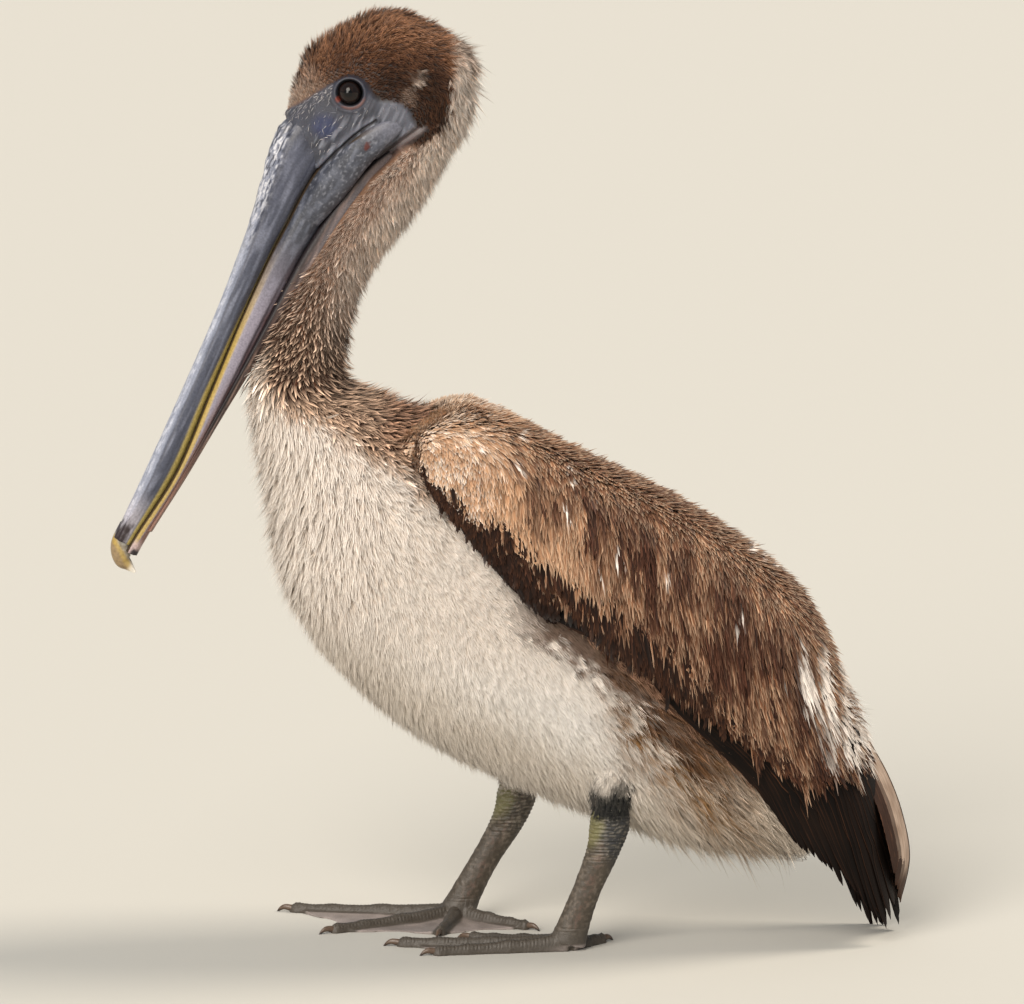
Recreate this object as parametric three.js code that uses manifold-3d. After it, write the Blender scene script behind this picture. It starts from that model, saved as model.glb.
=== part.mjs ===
// A brown pelican in its first-year plumage, life-size, standing at rest with folded wings.
// Millimetres, +Z up. The bird faces -X, its left side is towards -Y, and Z = 0 is the floor.
//
// The body is skinned over ribs: a rib is one cross-section, given by its front (or belly) point,
// its back point and its half width. Pieces that touch keep a gap of GAP between them.

import * as THREE from 'three';
import { LoftGeometry } from 'three/addons/geometries/LoftGeometry.js';
import { mergeVertices } from 'three/addons/utils/BufferGeometryUtils.js';
import Module from 'manifold-3d';

const wasm = await Module();
wasm.setup();

// ---------------------------------------------------------------- driving dimensions

const GAP = 0.3;              // between pieces that touch
const BIG = 1000;             // reach of a cutting block
const BILL_ROOT = [-125, 540]; // x, z on the bill's axis, level with the eye's front corner
const BILL_DIP = 63.3;        // degrees the bill points below level
const BILL_TIP = 315;         // from the root to the end of the hook, along the axis
const EYE_CENTRE = [-109, 23, 581.5];
const EYE_RADIUS = 8.5;
const MANTLE_HALF = 24;       // half width of the back between the two folded wings
const ANKLE_HEIGHT = 88;
const WEB_THICKNESS = 2.2;
const CLAW_LENGTH = 10;

// ---------------------------------------------------------------- solids and splines

// A closed geometry as a manifold solid.
function solid(geometry) {
  const bare = new THREE.BufferGeometry();
  bare.setAttribute('position', geometry.attributes.position);
  bare.setIndex(geometry.index);
  const merged = mergeVertices(bare, 1e-4);
  const vertProperties = new Float32Array(merged.attributes.position.array);
  const triVerts = new Uint32Array(merged.index.array);
  return new wasm.Manifold(new wasm.Mesh({ numProp: 3, vertProperties, triVerts }));
}

// Sections joined into one closed solid; their points are turned to run the way a loft needs.
function loft(sections) {
  const middleOf = (ring) =>
    ring.reduce((sum, point) => sum.add(point), new THREE.Vector3()).divideScalar(ring.length);
  const [first, second] = sections;
  const start = middleOf(first);
  const ahead = middleOf(second).sub(start);
  const normal = new THREE.Vector3();
  first.forEach((point, i) => {
    const next = first[(i + 1) % first.length].clone().sub(start);
    normal.add(point.clone().sub(start).cross(next));
  });
  const rings = normal.dot(ahead) > 0 ? sections : sections.map((ring) => [...ring].reverse());
  return solid(new LoftGeometry(rings, { capStart: true, capEnd: true }));
}

// The solid's largest body as a geometry, without the slivers that a cut can leave.
function geometryOf(shape) {
  const largest = shape.decompose().reduce((a, b) => (b.volume() > a.volume() ? b : a));
  const { numProp, vertProperties, triVerts } = largest.getMesh();
  const position = new Float32Array((vertProperties.length / numProp) * 3);
  for (let i = 0; i * numProp < vertProperties.length; i++) {
    position.set(vertProperties.subarray(i * numProp, i * numProp + 3), i * 3);
  }
  const geometry = new THREE.BufferGeometry();
  geometry.setAttribute('position', new THREE.BufferAttribute(position, 3));
  geometry.setIndex(new THREE.BufferAttribute(triVerts, 1));
  geometry.computeVertexNormals();
  return geometry;
}

const union = (...shapes) => shapes.reduce((a, b) => a.add(b));

// A solid made a little larger all round, for cutting its neighbours back.
function grown(shape) {
  const by = 1.7 * GAP;
  const steps = [[by, 0, 0], [-by, 0, 0], [0, by, 0], [0, -by, 0], [0, 0, by], [0, 0, -by]];
  return union(...steps.map((step) => shape.translate(step)));
}

const signedPower = (value, power) => Math.sign(value) * Math.abs(value) ** power;

// A smooth number through evenly spaced values, at t from 0 to 1.
function blend(values, t) {
  const curve = new THREE.SplineCurve(values.map((value, i) => new THREE.Vector2(i, value)));
  return curve.getPoint(t).y;
}

// ---------------------------------------------------------------- ribs and their skin

const rib = (frontX, frontZ, backX, backZ, half) => ({ frontX, frontZ, backX, backZ, half });

// The rib at place t, counted in ribs from the first, made larger all round by grow.
function ribAt(ribs, t, grow) {
  const at = (key) => blend(ribs.map((r) => r[key]), t / (ribs.length - 1));
  const front = new THREE.Vector3(at('frontX'), 0, at('frontZ'));
  const back = new THREE.Vector3(at('backX'), 0, at('backZ'));
  const out = back.clone().sub(front).normalize().multiplyScalar(grow);
  return { front: front.sub(out), back: back.add(out), half: at('half') + grow };
}

// A closed skin over the ribs from place `from` to place `to`. A squareness under 1 fills the corners.
function ribSkin(ribs, { from = 0, to = ribs.length - 1, steps, around = 20, grow = 0, squareness = 1 }) {
  const sections = [];
  for (let i = 0; i <= steps; i++) {
    const { front, back, half } = ribAt(ribs, from + ((to - from) * i) / steps, grow);
    const middle = front.clone().add(back).multiplyScalar(0.5);
    const reach = back.clone().sub(front).multiplyScalar(0.5);
    const ring = [];
    for (let k = 0; k < around; k++) {
      const angle = (2 * Math.PI * k) / around;
      const point = middle.clone().addScaledVector(reach, signedPower(Math.cos(angle), squareness));
      point.y = half * signedPower(Math.sin(angle), squareness);
      ring.push(point);
    }
    sections.push(ring);
  }
  return loft(sections);
}

// Head and neck, from the root of the bill over the crown and down to the shoulders.
const NECK_RIBS = [
  rib(-123, 517, -154, 566, 17), // root of the bill
  rib(-96, 527, -134, 614, 27),
  rib(-83, 532, -79, 638, 31), // crown
  rib(-81, 530, -31, 612, 31),
  rib(-88, 525, -25, 584, 30), // nape
  rib(-100, 514, -31, 555, 29),
  rib(-121, 492, -58, 505, 27),
  rib(-146, 452, -96, 453, 26), // thinnest place of the neck
  rib(-170, 406, -111, 405, 31),
  rib(-180, 379, -106, 383, 38), // where the neck enters the shoulders
];
const HEAD_END = 5.4;
const NECK_END = 9;

// Breast, belly and rump, from the shoulders to the root of the tail.
const TRUNK_RIBS = [
  rib(-180, 379, -106, 383, 38),
  rib(-173, 326, -62, 367, 56),
  rib(-152, 230, 3, 341, 80),
  rib(-84, 150, 86, 297, 87), // widest place of the body
  rib(12, 99, 158, 245, 78),
  rib(104, 68, 205, 172, 57),
  rib(190, 59, 232, 104, 32), // root of the tail
];

// The outline of the folded wings and the feathers of the back, laid round the trunk.
const SHELL_RIBS = [
  rib(-172, 324, -66, 352, 50), // in front of the bend of the wing
  rib(-165, 276, -30, 373, 82),
  rib(-124, 185, 50, 337, 99),
  rib(-36, 122, 132, 295, 98),
  rib(60, 80, 198, 243, 84),
  rib(150, 55, 231, 175, 63),
  rib(205, 12, 255, 98, 49),
  rib(240, -34, 270, -4, 34), // past the wing tips
];

const shellWhole = ribSkin(SHELL_RIBS, { steps: 16, around: 32, squareness: 0.92 });
const trunkWhole = ribSkin(TRUNK_RIBS, { steps: 14, around: 24 });
const trunkGrown = ribSkin(TRUNK_RIBS, { steps: 14, around: 24, grow: GAP });
const neckGrown = ribSkin(NECK_RIBS, { from: 6, to: NECK_END, steps: 8, grow: GAP });

// ---------------------------------------------------------------- blocks cut from side outlines

// A block with a side outline through [x, z] points, reaching from yLow to yHigh.
function sideBlock(points, yLow, yHigh) {
  const shape = new THREE.Shape(points.map(([x, z]) => new THREE.Vector2(x, z)));
  const block = new THREE.ExtrudeGeometry(shape, { depth: yHigh - yLow, bevelEnabled: false });
  block.rotateX(Math.PI / 2).translate(0, yHigh, 0);
  return solid(block);
}

// Points along a smooth line through [x, z] knots.
function smoothLine(knots, pieces = 3) {
  const curve = new THREE.SplineCurve(knots.map(([x, z]) => new THREE.Vector2(x, z)));
  return curve.getPoints((knots.length - 1) * pieces).map((p) => [p.x, p.y]);
}

// ---------------------------------------------------------------- folded wings

// The wing's lower edge, from the bend of the wing to the first primary's tip.
const WING_EDGE = [[-66, 350], [-60, 322], [-22, 279], [14, 241], [52, 222], [110, 161], [162, 108]];
// Where the coverts end and the bare flight feathers begin.
const COVERT_EDGE = [[-75, 330], [-28, 302], [44, 233], [110, 187], [168, 141], [216, 123], [262, 150]];
const PRIMARY_ROOT = [[139, 182], [158, 92]];

// Each primary's tip, from the innermost to the longest: [x, z].
const PRIMARY_TIPS = [[194, 73], [212, 55], [230, 46], [240, 30], [256, 16], [268, 30]];
const TIP_NOTCH = 7; // depth of the notches between the tips
const RIGHT_TIP_DROP = 24; // lays the right wing's tip on the floor, where it is cut flat

// The tips and the notches between them, the last ones lowered by drop and the first ones kept.
function primaryOutline(drop) {
  const tips = PRIMARY_TIPS.map(([x, z], i) => [x, z - (drop * i) / (PRIMARY_TIPS.length - 1)]);
  const line = [tips[0]];
  for (let i = 1; i < tips.length; i++) {
    const [x, z] = tips[i];
    const [lastX, lastZ] = tips[i - 1];
    line.push([(x + lastX) / 2, (z + lastZ) / 2 + TIP_NOTCH], [x, z]);
  }
  return line;
}

// One wing: side is -1 for the left one and 1 for the right. drop lowers its tips.
function wing(name, side, drop, tailSpace) {
  const yLow = side < 0 ? -BIG : MANTLE_HALF + GAP;
  const yHigh = side < 0 ? -MANTLE_HALF - GAP : BIG;
  const block = (points) => sideBlock(points, yLow, yHigh);
  const above = [[300, 30], [300, 420], [-66, 420]];
  const outline = block([...smoothLine(WING_EDGE), ...primaryOutline(drop), ...above]);
  const floor = block([[-300, 0], [400, 0], [400, 500], [-300, 500]]);
  const blank = shellWhole.intersect(outline).intersect(floor)
    .subtract(trunkGrown).subtract(neckGrown).subtract(tailSpace);
  const coverts = block([...smoothLine(COVERT_EDGE), [320, 150], [320, 430], [-120, 430], [-120, 350]]);
  const flightCut = smoothLine(COVERT_EDGE).map(([x, z]) => [x - GAP / 2, z - GAP]);
  const flight = block([...flightCut, [320, 150], [320, -60], [-120, -60], [-120, 330]]);
  const [[topX, topZ], [footX, footZ]] = PRIMARY_ROOT;
  const inner = block([[topX, topZ], [footX, footZ], [footX, -BIG], [-BIG, -BIG], [-BIG, BIG], [topX, BIG]]);
  const outer = block([
    [topX + GAP, topZ], [footX + GAP, footZ], [footX + GAP, -BIG], [BIG, -BIG], [BIG, BIG], [topX + GAP, BIG],
  ]);
  return {
    [`wing_${name}_coverts`]: blank.intersect(coverts),
    [`wing_${name}_secondaries`]: blank.intersect(flight).intersect(inner),
    [`wing_${name}_primaries`]: blank.intersect(flight).intersect(outer),
  };
}

// ---------------------------------------------------------------- tail and back

// The tail is a roof-shaped fan: its ridge runs down the middle and its sides fall forwards.
const TAIL_RIDGE = [[244, 139], [258, 112], [269, 84], [275, 52], [277, 22]];
const TAIL_HALF = [23, 29, 34, 36, 32];
const TAIL_THICKNESS = [7, 5, 3.5, 2.5, 1.6];
const TAIL_SAG = 12;

// The fan from its ridge forwards to the given depth at each height.
function tailFan(depths) {
  const steps = 8;
  const across = 8;
  const ridge = new THREE.SplineCurve(TAIL_RIDGE.map(([x, z]) => new THREE.Vector2(x, z)));
  const sections = [];
  for (let i = 0; i <= steps; i++) {
    const t = i / steps;
    const { x, y: z } = ridge.getPoint(t);
    const half = blend(TAIL_HALF, t);
    const line = (back) => {
      const points = [];
      for (let k = 0; k <= across; k++) {
        const share = (2 * k) / across - 1;
        points.push(new THREE.Vector3(x + back - TAIL_SAG * share * share, half * share, z));
      }
      return points;
    };
    sections.push([...line(0), ...line(-blend(depths, t)).reverse()]);
  }
  return loft(sections);
}

// The feathers of the back between the wings, down to the root of the tail.
function mantle() {
  const rump = TAIL_RIDGE[0][1] + GAP;
  const outline = [[-66, 340], [-66, 420], [300, 420], [300, rump], [150, rump], [20, 200]];
  const block = sideBlock(outline, -MANTLE_HALF, MANTLE_HALF);
  return shellWhole.intersect(block).subtract(trunkGrown).subtract(neckGrown);
}

// ---------------------------------------------------------------- bill

const dip = THREE.MathUtils.degToRad(BILL_DIP);
const billAlong = new THREE.Vector3(-Math.cos(dip), 0, -Math.sin(dip));
const billUp = new THREE.Vector3(-Math.sin(dip), 0, Math.cos(dip));
const billRoot = new THREE.Vector3(BILL_ROOT[0], 0, BILL_ROOT[1]);

// A point given along the bill from its root, up towards the culmen, and out to the side.
const billPoint = (along, up, side) =>
  billRoot.clone().addScaledVector(billAlong, along).addScaledVector(billUp, up).setY(side);

// Evenly spaced values along the bill, from behind the gape to the root of the nail.
const BILL_FROM = -60;
const BILL_TO = 300;
const CULMEN = [38, 34, 22.5, 19, 16.2, 13.9, 12.5];
const MOUTH = [-38, -3, 2.2, 1.3, -2.5, -6, 0];
const JAW_EDGE = [-52, -26.5, -17.3, -15.6, -14.4, -11.7, -7];
const POUCH_EDGE = [-64, -36, -25, -21, -18, -13.5, -8];
const BILL_HALF = [27, 23, 17.3, 15.1, 15.2, 15.3, 9];

// A bar along the bill between two lines, with its half width as a share of the bill's.
function billBar({ from, to, top, bottom, share, squareness, steps = 8, around = 12, grow = 0 }) {
  const sections = [];
  for (let i = 0; i <= steps; i++) {
    const along = from + ((to - from) * i) / steps;
    const t = Math.min(1, (along - BILL_FROM) / (BILL_TO - BILL_FROM));
    const high = blend(top, t) + grow;
    const low = blend(bottom, t) - grow;
    const half = blend(BILL_HALF, t) * share + grow;
    const ring = [];
    for (let k = 0; k < around; k++) {
      const angle = (2 * Math.PI * k) / around;
      const up = (high + low) / 2 + ((high - low) / 2) * signedPower(Math.cos(angle), squareness);
      ring.push(billPoint(along, up, half * signedPower(Math.sin(angle), squareness)));
    }
    sections.push(ring);
  }
  return loft(sections);
}

// A bar of oval sections along a path of [x, y, z, radius up, radius across] knots.
function ovalBar(knots, { steps, around = 8, upHint = new THREE.Vector3(0, 0, 1) }) {
  const at = (index, t) => blend(knots.map((knot) => knot[index]), t);
  const centre = (t) => new THREE.Vector3(at(0, t), at(1, t), at(2, t));
  const sections = [];
  for (let i = 0; i <= steps; i++) {
    const t = i / steps;
    const ahead = centre(Math.min(1, t + 0.01)).sub(centre(Math.max(0, t - 0.01))).normalize();
    const across = new THREE.Vector3().crossVectors(upHint, ahead).normalize();
    const up = new THREE.Vector3().crossVectors(ahead, across);
    const ring = [];
    for (let k = 0; k < around; k++) {
      const angle = (2 * Math.PI * k) / around;
      ring.push(centre(t)
        .addScaledVector(up, at(3, t) * Math.cos(angle))
        .addScaledVector(across, at(4, t) * Math.sin(angle)));
    }
    sections.push(ring);
  }
  return loft(sections);
}

const billKnot = (along, up, side, radiusUp, radiusAcross) =>
  [...billPoint(along, up, side).toArray(), radiusUp, radiusAcross];

// The branch of the lower jaw that runs back over one cheek to the gape.
const jawBranch = (side, grow) => ovalBar([
  billKnot(30, -9.5, side * 15, 9 + grow, 4 + grow),
  billKnot(5, -14, side * 20, 10.5 + grow, 5 + grow),
  billKnot(-20, -24, side * 24, 9 + grow, 5 + grow),
  billKnot(-42, -38, side * 25, 4 + grow, 3 + grow),
], { steps: 6, upHint: billUp });

// The hooked nail at the end of the upper half of the bill.
const nail = (grow) => ovalBar([
  billKnot(290, 6.5, 0, 6.5 + grow, 6.5 + grow),
  billKnot(302, 6, 0, 7 + grow, 6.5 + grow),
  billKnot(310.5, 1, 0, 6 + grow, 5 + grow),
  billKnot(BILL_TIP - 2, -5, 0, 3.5 + grow, 3 + grow),
  billKnot(BILL_TIP, -11, 0, 0.8 + grow, 0.8 + grow),
], { steps: 6, upHint: billUp });

function billPieces() {
  const nailGrown = nail(GAP);
  const belowMouth = MOUTH.map((up) => up - GAP);
  const belowJaw = JAW_EDGE.map((up) => up - GAP);
  const upper = { from: 4, to: 299, top: CULMEN, bottom: MOUTH, share: 1, squareness: 0.8, steps: 9 };
  const lower = { from: 22, to: 304, top: belowMouth, bottom: JAW_EDGE, share: 0.94, squareness: 0.7 };
  const pouch = { from: -12, to: 288, top: belowJaw, bottom: POUCH_EDGE, share: 0.78, squareness: 0.9 };
  const upperGrown = billBar({ ...upper, grow: GAP });
  const lowerWhole = union(billBar(lower), jawBranch(-1, 0), jawBranch(1, 0))
    .subtract(upperGrown).subtract(nailGrown);
  const lowerGrown = union(billBar({ ...lower, grow: GAP }), jawBranch(-1, GAP), jawBranch(1, GAP));
  return {
    bill_upper: billBar(upper).subtract(nailGrown),
    bill_nail: nail(0),
    bill_lower: lowerWhole,
    pouch: billBar(pouch).subtract(lowerGrown),
    grown: union(upperGrown, nailGrown, lowerGrown, billBar({ ...pouch, grow: GAP })),
  };
}

// ---------------------------------------------------------------- legs and feet

// A foot stands at `heel` and spreads its toes to the given tips, inner (hind) toe first.
const FEET = {
  left: {
    side: -1,
    ankle: [66, -48],
    heel: [38, -46],
    tips: [[63, -22], [-30, -17], [-79, -35], [-54, -63]],
  },
  right: {
    side: 1,
    ankle: [3, 50],
    heel: [-38, 49],
    tips: [[12, 16], [-50, -4], [-125, 5], [-156, 74]],
  },
};
const TOE_ROOT_HEIGHT = 13;
const TOE_TIP_HEIGHT = 7;
const TOE_ROOT_HALF = 7;
const TOE_TIP_HALF = 4;
const WEB_SCALLOP = 0.16; // how far a web's free edge bows in, as a share of its length

// A toe lies on the floor: each section is an arch with a flat sole at Z = 0.
function toe(heel, tip) {
  const steps = 5;
  const arch = 6;
  const run = new THREE.Vector2(tip[0] - heel[0], tip[1] - heel[1]);
  const across = new THREE.Vector3(-run.y, run.x, 0).normalize();
  const sections = [];
  for (let i = 0; i <= steps; i++) {
    const t = i / steps;
    const ease = 1 - (1 - t) ** 2;
    const round = t < 1 ? 1 : 0.6;
    const height = THREE.MathUtils.lerp(TOE_ROOT_HEIGHT, TOE_TIP_HEIGHT, ease) * round;
    const half = THREE.MathUtils.lerp(TOE_ROOT_HALF, TOE_TIP_HALF, ease) * round;
    const centre = new THREE.Vector3(heel[0] + run.x * t, heel[1] + run.y * t, 0);
    const ring = [];
    for (let k = 0; k <= arch; k++) {
      const angle = (Math.PI * k) / arch;
      const point = centre.clone().addScaledVector(across, half * Math.cos(angle));
      ring.push(point.setZ(height * Math.sin(angle)));
    }
    sections.push(ring);
  }
  return loft(sections);
}

// The web between two toes: a thin plate whose free edge bows in between the tips.
function web(heel, tipA, tipB) {
  const shape = new THREE.Shape();
  const shorten = (tip) => [heel[0] + (tip[0] - heel[0]) * 0.95, heel[1] + (tip[1] - heel[1]) * 0.95];
  const [aX, aY] = shorten(tipA);
  const [bX, bY] = shorten(tipB);
  const pull = (a, b, h) => (a + b) / 2 + (h - (a + b) / 2) * 2 * WEB_SCALLOP;
  shape.moveTo(heel[0], heel[1]);
  shape.lineTo(aX, aY);
  shape.quadraticCurveTo(pull(aX, bX, heel[0]), pull(aY, bY, heel[1]), bX, bY);
  return solid(new THREE.ExtrudeGeometry(shape, {
    depth: WEB_THICKNESS, bevelEnabled: false, curveSegments: 8,
  }));
}

function claw(heel, tip) {
  const run = new THREE.Vector2(tip[0] - heel[0], tip[1] - heel[1]).normalize();
  const knot = (ahead, height, radius) =>
    [tip[0] + run.x * ahead, tip[1] + run.y * ahead, height, radius, radius * 0.8];
  return ovalBar([
    knot(GAP, 3.4, 2.7), knot(0.3 * CLAW_LENGTH, 4.2, 2.4), knot(0.7 * CLAW_LENGTH, 3.4, 1.6), knot(CLAW_LENGTH, 0.9, 0.5),
  ], { steps: 4, around: 6 });
}

// Shank (the scaly leg below the ankle) and the short feathered thigh above it.
function shank({ ankle, heel }, grow = 0) {
  const [topX, topY] = ankle;
  const mid = (share) => [heel[0] + (topX - heel[0]) * share, heel[1] + (topY - heel[1]) * share];
  const knot = (share, height, fore, across) => [...mid(share), height, fore + grow, across + grow];
  return ovalBar([
    knot(0, 6, 12.5, 8),
    knot(0.18, 22, 10.5, 6.8),
    knot(0.5, 46, 9.6, 6.2),
    knot(0.84, 70, 11.2, 7.6),
    knot(1, ANKLE_HEIGHT, 13.6, 9.5),
    knot(1.03, ANKLE_HEIGHT + 10, 12.5, 9),
  ], { steps: 8, around: 10, upHint: new THREE.Vector3(1, 0, 0) });
}

function thigh({ ankle, side }) {
  const [x, y] = ankle;
  return ovalBar([
    [x, y, ANKLE_HEIGHT + 2, 13.4, 9.6],
    [x + 1, y, ANKLE_HEIGHT + 14, 15, 13],
    [x + 4, y - side * 4, ANKLE_HEIGHT + 34, 22, 19],
    [x + 8, y - side * 8, ANKLE_HEIGHT + 58, 30, 24],
  ], { steps: 4, upHint: new THREE.Vector3(1, 0, 0) });
}

function legPieces(name) {
  const foot = FEET[name];
  const { heel, tips } = foot;
  const toes = union(...tips.map((tip) => toe(heel, tip)));
  const webs = union(...tips.slice(1).map((tip, i) => web(heel, tips[i], tip)));
  const pieces = {
    [`thigh_${name}`]: thigh(foot).subtract(trunkGrown).subtract(shank(foot, GAP)),
    [`shank_${name}`]: shank(foot).subtract(trunkGrown),
    [`foot_${name}`]: union(toes, webs).subtract(shank(foot, GAP)),
  };
  tips.forEach((tip, i) => {
    pieces[`claw_${name}_${i + 1}`] = claw(heel, tip);
  });
  return pieces;
}

// ---------------------------------------------------------------- the bird

const MATERIALS = {
  crown: new THREE.MeshStandardMaterial({ color: 0x7a4a32, roughness: 0.9 }),
  neck: new THREE.MeshStandardMaterial({ color: 0x94735b, roughness: 0.9 }),
  breast: new THREE.MeshStandardMaterial({ color: 0xddd0c4, roughness: 0.9 }),
  covert: new THREE.MeshStandardMaterial({ color: 0x6f4a35, roughness: 0.85 }),
  flight: new THREE.MeshStandardMaterial({ color: 0x2a1d18, roughness: 0.7 }),
  tail: new THREE.MeshStandardMaterial({ color: 0x8d7466, roughness: 0.8 }),
  bill: new THREE.MeshStandardMaterial({ color: 0x70737b, roughness: 0.45 }),
  nail: new THREE.MeshStandardMaterial({ color: 0xb8913f, roughness: 0.4 }),
  pouch: new THREE.MeshStandardMaterial({ color: 0x6b4c4a, roughness: 0.6 }),
  eye: new THREE.MeshStandardMaterial({ color: 0x1a1210, roughness: 0.1 }),
  leg: new THREE.MeshStandardMaterial({ color: 0x6a6357, roughness: 0.6 }),
  claw: new THREE.MeshStandardMaterial({ color: 0x4a3c36, roughness: 0.4 }),
};

const bird = new THREE.Group();

function place(name, shape, material) {
  const mesh = new THREE.Mesh(geometryOf(shape), MATERIALS[material]);
  mesh.name = name;
  bird.add(mesh);
}

const { grown: billGrown, ...bill } = billPieces();
const eyes = { left: -1, right: 1 };
const eyeball = (side, radius) => {
  const ball = new THREE.SphereGeometry(radius, 12, 8);
  return solid(ball.translate(EYE_CENTRE[0], side * EYE_CENTRE[1], EYE_CENTRE[2]));
};

const SEAM = 0.012; // a gap's width, counted in ribs
const sockets = union(eyeball(-1, EYE_RADIUS + GAP), eyeball(1, EYE_RADIUS + GAP));
const headWhole = ribSkin(NECK_RIBS, { from: 0, to: HEAD_END, steps: 11, around: 20 });
place('head', headWhole.subtract(billGrown).subtract(sockets), 'crown');

const neckLengths = ['neck_upper', 'neck_middle', 'neck_lower'];
neckLengths.forEach((name, i) => {
  const length = (NECK_END - HEAD_END) / neckLengths.length;
  const from = HEAD_END + length * i + SEAM;
  const piece = ribSkin(NECK_RIBS, { from, to: HEAD_END + length * (i + 1), steps: 4 });
  place(name, piece.subtract(billGrown), 'neck');
});

place('bill_upper', bill.bill_upper, 'bill');
place('bill_nail', bill.bill_nail, 'nail');
place('bill_lower', bill.bill_lower, 'bill');
place('pouch', bill.pouch, 'pouch');
for (const [name, side] of Object.entries(eyes)) {
  place(`eye_${name}`, eyeball(side, EYE_RADIUS), 'eye');
}

const trunkPiece = ribSkin(TRUNK_RIBS, { from: SEAM, steps: 14, around: 24 });
place('trunk', trunkPiece, 'breast');

place('mantle', mantle(), 'covert');
place('tail', tailFan(TAIL_THICKNESS).subtract(trunkGrown), 'tail');

const tailSpace = grown(tailFan(TAIL_HALF.map(() => 80)));
const wings = { ...wing('left', -1, 0, tailSpace), ...wing('right', 1, RIGHT_TIP_DROP, tailSpace) };
for (const [name, shape] of Object.entries(wings)) {
  place(name, shape, name.endsWith('coverts') ? 'covert' : 'flight');
}

for (const name of ['left', 'right']) {
  for (const [piece, shape] of Object.entries(legPieces(name))) {
    const material = piece.startsWith('claw') ? 'claw' : piece.startsWith('thigh') ? 'breast' : 'leg';
    place(piece, shape, material);
  }
}

// The origin is on the floor, under the middle of the bird's outline seen from above.
const box = new THREE.Box3().setFromObject(bird);
const centre = box.getCenter(new THREE.Vector3());
bird.position.set(-centre.x, -centre.y, 0);

const root = new THREE.Group();
root.add(bird);

export default root;
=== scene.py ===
import math

import bmesh
import bpy
import numpy as np
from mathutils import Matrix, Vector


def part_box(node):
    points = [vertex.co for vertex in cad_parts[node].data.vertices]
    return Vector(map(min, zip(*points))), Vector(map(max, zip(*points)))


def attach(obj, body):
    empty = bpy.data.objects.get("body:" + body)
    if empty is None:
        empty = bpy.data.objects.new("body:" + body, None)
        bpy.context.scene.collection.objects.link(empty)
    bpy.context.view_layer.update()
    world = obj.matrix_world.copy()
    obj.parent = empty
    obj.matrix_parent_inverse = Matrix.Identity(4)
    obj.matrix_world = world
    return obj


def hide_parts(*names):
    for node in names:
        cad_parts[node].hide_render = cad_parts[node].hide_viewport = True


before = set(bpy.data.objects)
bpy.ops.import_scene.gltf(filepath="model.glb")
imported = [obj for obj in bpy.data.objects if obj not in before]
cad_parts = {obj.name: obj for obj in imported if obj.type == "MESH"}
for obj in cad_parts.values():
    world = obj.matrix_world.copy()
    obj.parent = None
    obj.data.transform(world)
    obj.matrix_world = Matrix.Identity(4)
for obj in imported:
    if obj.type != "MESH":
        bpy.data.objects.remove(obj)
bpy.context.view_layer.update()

# ------------------------------------------------------------------ room
# A pale matt floor that runs out of sight, a long lens at the bird's side a little above its back,
# and three large soft lamps: one high in front, one low behind the camera and one over the tail.
MM = 0.001
EYE = np.array([-108.0, -23.0, 582.6])
CAMERA_LIFT = math.radians(8.5)
CAMERA_AWAY = 4000.0
CAMERA_AIM = np.array([0.0, 0.0, 302.0])
LENS = 206.8

eye_low, eye_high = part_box("eye_left")
SHIFT = (np.array(eye_low) + np.array(eye_high)) / 2 / MM - EYE


def to_row(points):
    """Millimetres in the bird's coordinates to metres in the frame: moved by SHIFT and scaled."""
    return (np.asarray(points, float) + SHIFT) * MM


def colour(code):
    """An sRGB hex colour as linear RGB: c / 12.92 for dark channels, else ((c + .055) / 1.055) ** 2.4."""
    c = np.array([int(code[i:i + 2], 16) for i in (1, 3, 5)]) / 255
    return np.where(c <= 0.04045, c / 12.92, ((c + 0.055) / 1.055) ** 2.4)


def add_node(tree, kind, inputs=None, **settings):
    """Adds a shader node. inputs maps a socket to a value or to the output that feeds it."""
    made = tree.nodes.new("ShaderNode" + kind)
    for key, value in settings.items():
        setattr(made, key, value)
    for key, value in (inputs or {}).items():
        if isinstance(value, bpy.types.NodeSocket):
            tree.links.new(value, made.inputs[key])
        else:
            made.inputs[key].default_value = value
    return made


def new_material(name, **constants):
    """A material with one Principled shader; the constants go straight on its sockets."""
    made = bpy.data.materials.new(name)
    made.use_nodes = True
    shader = made.node_tree.nodes["Principled BSDF"]
    for key, value in constants.items():
        shader.inputs[key.replace("_", " ")].default_value = value
    return made, made.node_tree, shader


def aim(thing, place, target):
    """Puts a camera or lamp at a place and turns its -Z axis to a target, both in millimetres."""
    place, target = to_row(place), to_row(target)
    thing.location = place
    away = Vector(target - place)
    thing.rotation_euler = away.to_track_quat("-Z", "Y").to_euler()
    bpy.context.scene.collection.objects.link(thing)


camera = bpy.data.objects.new("camera", bpy.data.cameras.new("camera"))
camera.data.lens = LENS
camera.data.sensor_width = 36
camera.data.clip_end = 60
stand = CAMERA_AIM + CAMERA_AWAY * np.array([0, -math.cos(CAMERA_LIFT), math.sin(CAMERA_LIFT)])
aim(camera, stand, CAMERA_AIM)
bpy.context.scene.camera = camera
bpy.context.scene.view_settings.view_transform = "Standard"

# Lamps far enough away to light the bird and the floor evenly: place, how wide each looks from the
# bird in degrees, strength, colour.
LAMPS = {
    "lamp_sky": ([-1000, -2100, 2000], 38, 2.8, "#fff6ea"),
    "lamp_front": ([-1800, -3200, 900], 24, 0.9, "#fff8f0"),
    "lamp_tail": ([1900, 500, 2300], 24, 2.2, "#fff3e2"),
}
for name, (place, width, strength, tone) in LAMPS.items():
    lamp = bpy.data.objects.new(name, bpy.data.lights.new(name, "SUN"))
    lamp.data.angle = math.radians(width)
    lamp.data.energy = strength
    lamp.data.color = colour(tone)
    aim(lamp, place, [0, 0, 300])

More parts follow.
